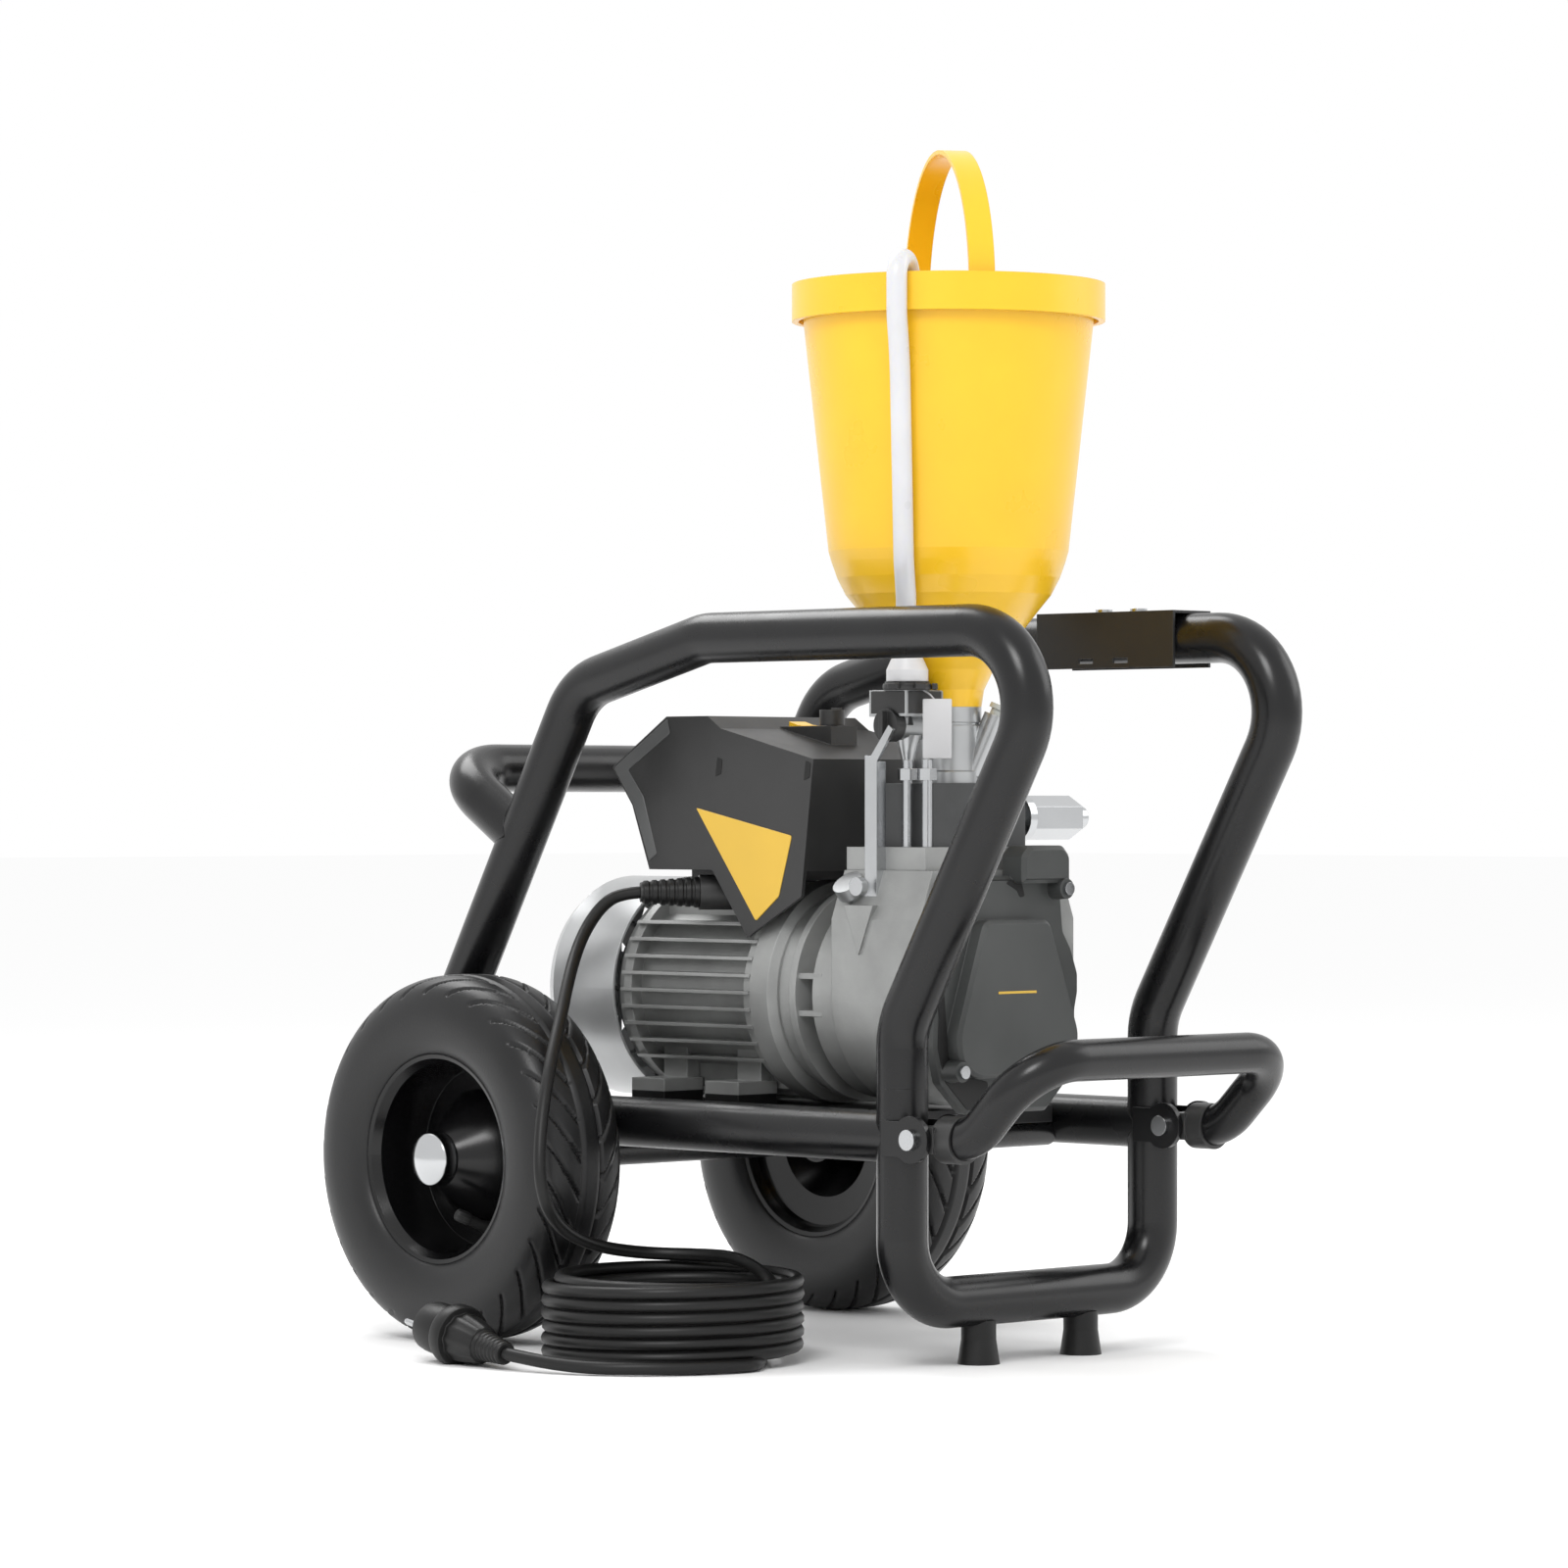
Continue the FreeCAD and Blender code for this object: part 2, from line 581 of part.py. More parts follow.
def wheel(side, sign):
    """Pneumatic tyre, dished rim with a conical hub, and the hub's two bearings."""
    at = (f"{sign} * wheel_x", "axle_y", "axle_z")
    tyre = [("-23", "rim_r"), ("-30", "rim_r + 2"), ("-34", "rim_r + 2"),
            ("0 - tyre_half + 1", "rim_r + 14"),
            ("0 - tyre_half", "rim_r + 30"), ("0 - tyre_half + 4", "wheel_r - 12"),
            ("0 - tyre_half + 13", "wheel_r - 3"), ("-12", "wheel_r"), ("12", "wheel_r"),
            ("tyre_half - 13", "wheel_r - 3"), ("tyre_half - 4", "wheel_r - 12"),
            ("tyre_half", "rim_r + 30"),
            ("tyre_half - 1", "rim_r + 14"), ("34", "rim_r + 2"), ("30", "rim_r + 2"), ("23", "rim_r"),
            ("17", "rim_r"),
            ("24", "rim_r + 8"), ("tyre_half - tyre_wall", "rim_r + 22"),
            ("tyre_half - tyre_wall - 2", "wheel_r - tyre_wall - 10"), ("14", "wheel_r - tyre_wall - 1"),
            ("-14", "wheel_r - tyre_wall - 1"),
            ("0 - tyre_half + tyre_wall + 2", "wheel_r - tyre_wall - 10"),
            ("0 - tyre_half + tyre_wall", "rim_r + 22"), ("-24", "rim_r + 8"), ("-17", "rim_r")]
    keep(turned(f"Tyre_{side}", tyre, at), f"tyre_{side}")

    bearing_r = "wheel_bearing_d / 2"
    rim = [("hub_end", bearing_r), ("hub_end", "hub_d / 2"), ("-10", "rim_r - 24"),
           ("-14", "rim_r - rim_wall - 3"),
           ("25", "rim_r - rim_wall"), ("31", "rim_r - 1"), ("32", "rim_r + 2"), ("30", "rim_r + 2"),
           ("23", "rim_r"), ("-23", "rim_r"), ("-30", "rim_r + 2"), ("-32", "rim_r + 2"),
           ("-31", "rim_r - 1"),
           ("-25", "rim_r - rim_wall"), ("-20", "rim_r - rim_wall - 1"), ("-17", "rim_r - 27"),
           ("18", "hub_d / 2 + 1"), ("0 - hub_end", "hub_d / 2"), ("0 - hub_end", bearing_r)]
    rim = [(f"{sign} * ({along})", radius) for along, radius in rim]
    keep(turned(f"Rim_{side}", rim, at), f"rim_{side}")

    races = []
    for k, place in enumerate(("hub_end - 1", "0 - hub_end + 1 + wheel_bearing_w")):
        edge = f"{sign} * (wheel_x + {place})" if sign < 0 else f"wheel_x + {place} - wheel_bearing_w"
        start = (edge, "axle_y", "axle_z")
        outer = rod(f"Race_{side}_{k}", "wheel_bearing_d", "wheel_bearing_w", start, "X")
        inner = rod(f"RaceBore_{side}_{k}", "axle_d + 2 * spin_gap", "wheel_bearing_w", start, "X")
        races.append(cut(f"WheelBearing_{side}_{k}", outer, inner))
    keep(group(f"WheelBearings_{side}", races), f"wheel_bearings_{side}")


def axle():
    """Through axle and the domed caps on its ends."""
    bar = rod("AxleBar", "axle_d", "2 * axle_half", ("0 - axle_half", "axle_y", "axle_z"), "X")
    keep(bar, "axle")
    caps = []
    for side, sign in SIDES:
        dome = [("0", "0"), ("0", "cap_d / 2"), ("cap_l * 0.35", "cap_d / 2 * 0.97"),
                ("cap_l * 0.65", "cap_d / 2 * 0.82"), ("cap_l * 0.88", "cap_d / 2 * 0.52"),
                ("cap_l * 0.98", "cap_d / 2 * 0.2"), ("cap_l", "0")]
        dome = [(f"{sign} * ({along})", radius) for along, radius in dome]
        solid = turned(f"CapDome_{side}", dome, (f"{sign} * (hub_x + free_gap)", "axle_y", "axle_z"))
        caps.append(cut(f"AxleCap_{side}", solid, bar))
    keep(group("AxleCaps", caps), "axle_caps")


# ---------------------------------------------------------------- motor

def motor_housing():
    """Cast housing with level fins at its sides, upright fins above and below, and four feet."""
    length = "motor_back - motor_front"
    at = ("0", "motor_front", "motor_z")
    core = rod("MotorCore", "core_d", length, at, "Y")
    fins = []
    for k in range(-4, 5):
        size = ("motor_d", length, "fin_t")
        fins.append(block(f"FinLevel_{k + 4}", size, ("0 - motor_d / 2", "motor_front",
                                                      f"motor_z + {k} * fin_gap - fin_t / 2")))
    for k in range(-3, 4):
        size = ("fin_t", length, "motor_d")
        fins.append(block(f"FinUpright_{k + 3}", size, (f"{k} * fin_gap - fin_t / 2", "motor_front",
                                                        "motor_z - motor_d / 2")))
    envelope = rod("FinEnvelope", "motor_d", length, at, "Y")
    finned = common("Fins", fuse("FinStack", fins), envelope)
    rings = [rod(f"MotorRing_{k}", "motor_d - 6", "8", ("0", y, "motor_z"), "Y")
             for k, y in enumerate(("motor_front", "motor_back - 8"))]
    feet = []
    for sign in (-1, 1):
        for k, y in enumerate(("motor_front + 28", "motor_back - 28")):
            tag = f"{'LR'[sign > 0]}{k}"
            base = block(f"FootPad_{tag}", ("foot_w", "foot_l", "foot_t"),
                         (f"{sign} * foot_x - foot_w / 2", f"{y} - foot_l / 2", "plate_top + pad_t"))
            inner = f"{sign} * (foot_x - 14) - 6"
            leg = block(f"FootLeg_{tag}", ("12", "foot_l - 10", "46"),
                        (inner, f"{y} - foot_l / 2 + 5", "plate_top + pad_t"))
            feet += [base, leg]
    holes = [rod(f"FootHole_{k}", "9", "foot_t", (f"{sign} * foot_x", y, "plate_top + pad_t"))
             for k, (sign, y) in enumerate((s, y) for s in (-1, 1) for y in ("motor_front + 28",
                     "motor_back - 28"))]
    bore = rod("MotorBore", "bore_d", length, at, "Y")
    keep(cut("MotorHousing", fuse("MotorBody", [core, finned] + rings + feet), bore, *holes),
         "motor_housing")


def motor_pads():
    """Rubber pads between the motor's feet and the base plate."""
    pads = []
    for sign in (-1, 1):
        for k, y in enumerate(("motor_front + 28", "motor_back - 28")):
            tag = f"{'LR'[sign > 0]}{k}"
            body = block(f"PadBody_{tag}", ("foot_w", "foot_l", "pad_t"),
                         (f"{sign} * foot_x - foot_w / 2", f"{y} - foot_l / 2", "plate_top"))
            hole = rod(f"PadHole_{tag}", "9", "pad_t", (f"{sign} * foot_x", y, "plate_top"))
            pads.append(cut(f"Pad_{tag}", body, hole))
    keep(group("MotorPads", pads), "motor_pads")


def motor_shells():
    """Rear end shield, fan cover with its grille, front flange and bell housing."""
    shield = [("0", "ball_d / 2"), ("0", "ball_d / 2 + 6"), ("8", "ball_d / 2 + 8"), ("8", "bore_d / 2"),
              ("8", "motor_d / 2 - 5"), ("8 + shield_t", "motor_d / 2 - 5"), ("8 + shield_t", "ball_d / 2")]
    keep(turned("RearShield", shield, ("0", "motor_back - 8", "motor_z"), "Y"), "rear_end_shield")

    cover = [("0", "cover_d / 2 - cover_t"), ("0", "cover_d / 2"), ("cover_l - 12", "cover_d / 2"),
             ("cover_l - 3", "cover_d / 2 - 5"), ("cover_l", "cover_d / 2 - 14"), ("cover_l", "0"),
             ("cover_l - cover_t", "0"), ("cover_l - cover_t", "cover_d / 2 - 15"),
             ("cover_l - 5", "cover_d / 2 - 7"), ("cover_l - 13", "cover_d / 2 - cover_t")]
    body = turned("FanCover", cover, ("0", "cover_start", "motor_z"), "Y")
    slot = [("-3", "24"), ("3", "24"), ("3", "cover_d / 2 - 20"), ("-3", "cover_d / 2 - 20")]
    sketch = body_sketch(body, "GrilleSlot", "YZ_Plane", slot)
    pocket = body.newObject("PartDesign::Pocket", "GrillePocket")
    pocket.Profile = sketch
    pocket.Type = "ThroughAll"
    pocket.Midplane = True
    pattern = body.newObject("PartDesign::PolarPattern", "GrillePattern")
    pattern.Originals = [pocket]
    pattern.Axis = (base_plane(body, "X_Axis"), [""])
    pattern.Angle = 360
    pattern.Occurrences = 16
    body.Tip = pattern
    keep(body, "fan_cover")

    flange = [("0", "bore_d / 2"), ("0", "motor_d / 2 - 2"), ("-2", "flange_d / 2"),
              ("0 - flange_t + 4", "flange_d / 2"), ("0 - flange_t", "flange_d / 2 - 6"),
              ("0 - flange_t", "ball_d / 2 + 9"), ("0 - flange_t", "ball_d / 2"),
              ("0 - flange_t + ball_w + 4", "ball_d / 2"), ("0 - flange_t + ball_w + 4", "bore_d / 2")]
    keep(turned("FrontFlange", flange, ("0", "motor_front", "motor_z"), "Y"), "end_shield")

    start = "motor_front - flange_t"
    bell = [("0", "54"), ("0", "flange_d / 2 - 8"), ("-15", "flange_d / 2 - 9"),
            ("-16", "flange_d / 2 - 2"),
            ("-22", "flange_d / 2 - 2"), ("-24", "62"), ("-34", "60"), ("-36", "flange_d / 2 - 5"),
            ("0 - bell_l", "flange_d / 2 - 5"), ("0 - bell_l", "48"), ("-40", "48")]
    shell = turned("BellShell", bell, ("0", start, "motor_z"), "Y")
    window = block("BellWindow", ("flange_d + 10", "9", "22"),
                   ("0 - flange_d / 2 - 5", f"{start} - 33", "motor_z - 11"))
    ribs = [block(f"BellRib_{k}", ("17", "24", "4"), (x, f"{start} - 44", z))
            for k, (x, z) in enumerate((x, z) for x in ("0 - flange_d / 2 + 6", "flange_d / 2 - 23")
                                       for z in ("motor_z + 11", "motor_z - 15"))]
    keep(fuse("BellHousing", [cut("BellCut", shell, window)] + ribs), "bell_housing")


def motor_core():
    """Stator, rotor, bearings, fan, and the shaft with its eccentric."""
    middle = "(motor_front + motor_back) / 2"
    start = ("0", f"{middle} - stator_l / 2", "motor_z")
    ring = rod("StatorRing", "bore_d", "stator_l", start, "Y")
    keep(cut("Stator", ring, rod("StatorBore", "stator_d", "stator_l", start, "Y")), "stator")
    inner = ("0", f"{middle} - stator_l / 2 + 3", "motor_z")
    core = rod("RotorCore", "stator_d - 2 * air_gap", "stator_l - 6", inner, "Y")
    keep(cut("Rotor", core, rod("RotorBore", "shaft_d", "stator_l - 6", inner, "Y")), "rotor")

    races = []
    for k, y in enumerate(("motor_back - 6", "motor_front - flange_t", "bell_front - ball_w - 4")):
        outer = rod(f"BallRing_{k}", "ball_d", "ball_w", ("0", y, "motor_z"), "Y")
        hole = rod(f"BallBore_{k}", "shaft_d + 2 * spin_gap", "ball_w", ("0", y, "motor_z"), "Y")
        races.append(cut(f"Ball_{k}", outer, hole))
    keep(group("ShaftBearings", races), "shaft_bearings")

    shaft_end = "pump_front + 12"
    bar = rod("ShaftBar", "shaft_d", f"cover_end - 22 - ({shaft_end})", ("0", shaft_end, "motor_z"), "Y")
    throw = rod("Throw", "eccentric_d", "eccentric_l", ("0", "eccentric_y", "motor_z + stroke_r"), "Y")
    keep(fuse("EccentricShaft", [bar, throw]), "eccentric_shaft")

    fan_y = "cover_start + 14"
    hub = rod("FanHub", "44", "fan_l + 4", ("0", fan_y, "motor_z"), "Y")
    disc = rod("FanDisc", "fan_d - 12", "3", ("0", fan_y, "motor_z"), "Y")
    blades = []
    for k in range(8):
        blade = doc.addObject("Part::Box", f"Blade_{k}")
        tie(blade, Length="3", Width="fan_l", Height="fan_d / 2")
        turn = Rotation(Vector(0, 1, 0), 45 * k)
        offset = turn.multVec(Vector(-1.5, 0, 0))
        blades.append(put(blade, (f"{offset.x:.4f}", fan_y, f"motor_z + ({offset.z:.4f})"), turn))
    bore = rod("FanBore", "shaft_d", "fan_l + 4", ("0", fan_y, "motor_z"), "Y")
    keep(cut("CoolingFan", fuse("FanBody", [hub, disc] + blades), bore), "cooling_fan")


# ---------------------------------------------------------------- pump

def pump_housing():
    """Cast oil housing: a round chamber with a square shoulder above it."""
    at = ("0", "pump_front", "motor_z")
    barrel = rod("PumpBarrel", "pump_w", "pump_l", at, "Y")
    shoulder = [("0 - pump_w / 2", "motor_z"), ("0 - pump_w / 2", "pump_top - 34"),
                ("0 - pump_w / 2 + 13", "pump_top"),
                ("pump_w / 2 - 13", "pump_top"), ("pump_w / 2", "pump_top - 34"), ("pump_w / 2", "motor_z")]
    upper = plate("PumpShoulder", shoulder, "pump_l", ("0", "bell_front", "0"), "Y")
    rib = [("-14", "0"), ("14", "0"), ("0", "-34")]
    wedge = plate("FillerRib", rib, "8", ("0 - pump_w / 2 - 2", "bell_front - 28", "pump_top - 24"), "X")
    chamber = rod("Sump", "sump_d", "sump_len", at, "Y")
    seat = rod("PumpSeat", "ball_d", "ball_w + 8", ("0", "bell_front - ball_w - 4", "motor_z"), "Y")
    gland = rod("PumpGland", "shaft_d + 6", "pump_l", at, "Y")
    bore_y = "eccentric_y + eccentric_l / 2"
    bore = rod("PistonBore", "piston_d + 14", "pump_top - motor_z", ("0", bore_y, "motor_z"))
    body = fuse("PumpBody", [barrel, upper, wedge])
    keep(cut("PumpHousing", body, chamber, seat, gland, bore), "pump_housing")
    return body


def piston_group():
    """Piston over the eccentric, its spring and the diaphragm it works."""
    bore_y = "eccentric_y + eccentric_l / 2"
    start = "eccentric_top + piston_gap"
    rod_part = rod("PistonRod", "piston_d", f"pump_top - ({start}) - 4", ("0", bore_y, start))
    collar = rod("PistonCollar", "piston_d + 13.4", "5", ("0", bore_y, f"{start} + 14"))
    keep(fuse("Piston", [rod_part, collar]), "piston")
    low = L["eccentric_top"] + S["piston_gap"] + 19 + S["spring_wire"] / 2
    high = S["pump_top"] - S["spring_wire"] / 2 - 4
    turns = 3.5
    radius = S["piston_d"] / 2 + 0.8 + S["spring_wire"] / 2
    helix = Part.makeHelix((high - low) / turns, high - low, radius)
    ring = Part.Wire([Part.Circle(Vector(radius, 0, 0), Vector(0, 1, 0), S["spring_wire"] / 2).toShape()])
    coil = doc.addObject("Part::Feature", "PistonSpring")
    coil.Shape = Part.Wire(helix.Edges).makePipeShell([ring], True, True)
    put(coil, ("0", bore_y, str(low)))
    keep(coil, "piston_spring")
    keep(rod("Diaphragm", "piston_d + 14", "3.5", ("0", bore_y, "pump_top - 3.5")), "diaphragm")


def front_cover():
    """Black shell bolted to the open front of the oil housing."""
    outline = [("-40", "motor_z - 80"), ("40", "motor_z - 80"), ("64", "motor_z - 58"),
               ("pump_w / 2 - 6", "motor_z - 33"), ("pump_w / 2 - 7", "motor_z - 11"),
               ("pump_w / 2 - 4", "motor_z + 1"), ("pump_w / 2 - 4", "motor_z + 15"),
               ("66", "motor_z + 33"), ("58", "motor_z + 45"), ("54", "pump_top - 1"),
               ("54", "pump_top + 11"), ("48", "pump_top + 18"), ("10", "pump_top + 18"),
               ("5", "pump_top + 12"), ("5", "pump_top - 2"), ("-54", "pump_top - 2"),
               ("-58", "motor_z + 45"), ("-66", "motor_z + 33"), ("4 - pump_w / 2", "motor_z + 15"),
               ("4 - pump_w / 2", "motor_z + 1"), ("7 - pump_w / 2", "motor_z - 11"),
               ("6 - pump_w / 2", "motor_z - 33"), ("-64", "motor_z - 58")]
    low, wide, high = "motor_z - 80 + front_t", "pump_w / 2 - 8 - front_t", "pump_top - 2 - front_t"
    hollow = [("-37", low), ("37", low), ("63 - front_t", "motor_z - 56"), (wide, "motor_z - 31"),
              (wide, "motor_z + 13"), ("65 - front_t", "motor_z + 31"), ("54 - front_t", high),
              ("front_t - 54", high), ("front_t - 65", "motor_z + 31"), (f"0 - ({wide})", "motor_z + 13"),
              (f"0 - ({wide})", "motor_z - 31"), ("front_t - 63", "motor_z - 56")]
    turn = Rotation(Vector(1, 0, 0), 90)
    solids = []
    for name, shape, length in (("FrontSolid", outline, "front_l"),
                                ("FrontHollow", hollow, "front_l - front_t")):
        sketch = doc.addObject("Sketcher::SketchObject", f"{name}Outline")
        draw(sketch, shape)
        put(sketch, ("0", "pump_front", "0"), turn)
        solid = doc.addObject("Part::Extrusion", name)
        solid.Base = sketch
        solid.DirMode = "Custom"
        solid.Dir = Vector(0, -1, 0)
        solid.Solid = True
        tie(solid, LengthFwd=length)
        solids.append(solid)
    keep(cut("FrontCover", *solids), "front_cover")


def pump_head():
    """Head block, manifold, inlet housing with the guide of its pusher, and the outlet."""
    head = block("HeadSolid", ("head_w", "head_l", "head_t"),
                 ("0 - head_w / 2", "pump_y - head_l / 2", "pump_top"))
    well = rod("HeadWell", "piston_d", "head_t", ("0", "pump_y", "pump_top"))
    keep(cut("HeadBlock", head, well), "head_block")

    base = block("ManifoldSolid", ("manifold_w", "manifold_l", "manifold_t"),
                 ("0 - manifold_w / 2", "pump_y - manifold_l / 2", "head_top"))
    port = rod("ManifoldPort", "24", "manifold_t", ("0", "pump_y", "head_top"))
    cross = rod("ManifoldCross", "12", "manifold_w / 2", ("0", "pump_y", "outlet_z"), "X")
    keep(cut("Manifold", base, port, cross), "manifold")

    lower = [("0", "12"), ("0", "inlet_r + 2"), ("8", "inlet_r + 2"), ("9", "inlet_r"), ("40", "inlet_r"),
             ("40.5", "inlet_r - 1"), ("42", "inlet_r - 1"), ("42.5", "inlet_r"),
             ("neck_z - manifold_top", "inlet_r"), ("neck_z - manifold_top", "inlet_r - 7"), ("20", "12")]
    shell = turned("InletShell", lower, ("0", "pump_y", "manifold_top"), "Z")
    at, turn = pusher_place()
    guide = rod("PusherGuide", "pusher_d", "44", at, rotation=turn)
    hole = rod("PusherHole", "button_d + 0.6", "34", pusher_point(10), rotation=turn)
    bore = rod("InletBore", "2 * inlet_r - 14", "neck_z - manifold_top - 20",
               ("0", "pump_y", "manifold_top + 20"))
    keep(cut("InletHousing", fuse("InletBody", [shell, guide]), hole, bore), "inlet_housing")

    button = rod("PusherStem", "button_d", "button_l", pusher_point(30), rotation=turn)
    head = rod("PusherHead", "button_d + 4", "3.5", pusher_point(48.5), rotation=turn)
    keep(fuse("PusherButton", [button, head]), "pusher_button")

    at = ("manifold_w / 2", "pump_y", "outlet_z")
    neck = rod("OutletNeck", "20", "20", at, "X")
    flange = rod("OutletFlange", "34", "7", ("manifold_w / 2 + 20", "pump_y", "outlet_z"), "X")
    hexa = hexagon("OutletHex", "hex_af", "outlet_end - outlet_thread_l - manifold_w / 2 - 27",
                   ("manifold_w / 2 + 27", "pump_y", "outlet_z"), "X")
    thread = rod("OutletThread", "outlet_thread_d", "outlet_thread_l",
                 ("outlet_end - outlet_thread_l", "pump_y", "outlet_z"), "X")
    bore = rod("OutletBore", "6", "outlet_end - manifold_w / 2", at, "X")
    keep(cut("OutletFitting", fuse("OutletBody", [neck, flange, hexa, thread]), bore), "outlet_fitting")


PUSHER_AIM = Vector(0.28, -0.27, 0.92).normalize()
PUSHER_FOOT = Vector(6, -17, 6)


def pusher_point(along):
    """Gives the formulas of a point on the pusher's axis, measured from the guide's foot."""
    point = PUSHER_FOOT + PUSHER_AIM * along
    return (f"{point.x:.4f}", f"pump_y + ({point.y:.4f})", f"manifold_top + ({point.z:.4f})")


def pusher_place():
    return pusher_point(0), Rotation(Vector(0, 0, 1), PUSHER_AIM)


def stay_and_filler(pump):
    """Stay bar beside the head and the oil filler cap, both seated on the housing's shoulder."""
    x = "0 - head_w / 2 - stay_w"
    bar = block("StaySolid", ("stay_w", "11.5", "stay_l + 9"), (x, "pump_y", "pump_top - 18"))
    outline = [("0", "0"), ("-11.5", "0"), ("-27", "22"), ("-23", "25"), ("-6", "4"), ("0", "4")]
    strap = plate("StayStrap", outline, "2.5", (x, "pump_y + 11.5", "pump_top + stay_l - 9"), "X")
    keep(cut("StayBar", fuse("StayBody", [bar, strap]), pump), "stay_bar")

    turn = Rotation(Vector(0, 1, 0), -40)
    neck = rod("FillerNeck", "cap_screw_d - 6", "16",
               ("14 - pump_w / 2", "bell_front - 14", "pump_top - 23"),
               rotation=turn)
    head = rod("FillerHead", "cap_screw_d", "9", ("7 - pump_w / 2", "bell_front - 14", "pump_top - 15"),
               rotation=turn)
    keep(cut("FillerCap", fuse("FillerBody", [neck, head]), pump), "filler_cap")


def relief_valve():
    """Relief valve with its knob, the block above it, and the return connector with its collar."""
    mouth = "0 - inlet_r - 30"
    axis = (mouth, "pump_y", "relief_z")
    tube = rod("ReliefTube", "relief_d", "32", axis, "X")
    top = block("ReliefTop", ("36", "36", "neck_z + 11 - relief_z - 6"),
                ("hose_x - 10", "hose_y - 9", "relief_z + 6"))
    outlet = cone("ReliefCone", "6", "18", "22",
                  ("0 - inlet_r - 17", "pump_y", "relief_z - relief_d / 2 - 19"))
    bore = rod("ReliefBore", "stem_d + 2 * spin_gap", "14", axis, "X")
    port = rod("ReliefPort", "hose_d - 4", "neck_z + 11 - relief_z", ("hose_x", "hose_y", "relief_z"))
    inlet = rod("ReliefClear", "2 * inlet_r", "neck_z - manifold_top", ("0", "pump_y", "manifold_top"))
    room = rod("ReliefRoom", "relief_knob_d + 2", "relief_knob_l + 8",
               (f"{mouth} - relief_knob_l - 8", "pump_y", "relief_z"), "X")
    neck = cone("ReliefNeckRoom", "neck_d + 4", "neck_d + 20", "16", ("0", "pump_y", "neck_z"))
    body = cut("ReliefBody", fuse("ReliefSolid", [tube, top, outlet]), bore, port, inlet, room, neck)
    keep(body, "relief_valve")

    disc = rod("ReliefDisc", "relief_knob_d", "relief_knob_l",
               (f"{mouth} - relief_knob_l - free_gap", "pump_y", "relief_z"), "X")
    grip = block("ReliefGrip", ("5", "4", "relief_knob_d - 4"),
                 (f"{mouth} - relief_knob_l - free_gap - 5", "pump_y - 2",
                  "relief_z - relief_knob_d / 2 + 2"))
    stem = rod("ReliefStem", "stem_d", "13 + free_gap", (f"{mouth} - free_gap", "pump_y", "relief_z"), "X")
    keep(fuse("ReliefKnob", [disc, grip, stem]), "relief_knob")

    foot = "neck_z + 11"
    ring = rod("CollarRing", "fitting_d + 2", "collar_l", ("hose_x", "hose_y", foot))
    passage = rod("CollarBore", "hose_d - 4", "collar_l", ("hose_x", "hose_y", foot))
    keep(cut("Collar", ring, passage), "hose_clamp")
    section = [("0", "hose_d / 2 - 2"), ("0", "fitting_d / 2"), ("fitting_l - 10", "fitting_d / 2"),
               ("fitting_l", "hose_d / 2 + 3"), ("fitting_l", "hose_d / 2 - 2")]
    keep(turned("HoseFitting", section, ("hose_x", "hose_y", foot + " + collar_l"), "Z"), "hose_fitting")


# ---------------------------------------------------------------- hopper

# Outline of the funnel, as shares of its rise and of its spread beyond the neck.
BOWL = [(0.11, 0.03), (0.24, 0.14), (0.37, 0.31), (0.5, 0.49), (0.61, 0.64), (0.72, 0.8), (0.83, 0.9),
        (0.93, 0.963)]


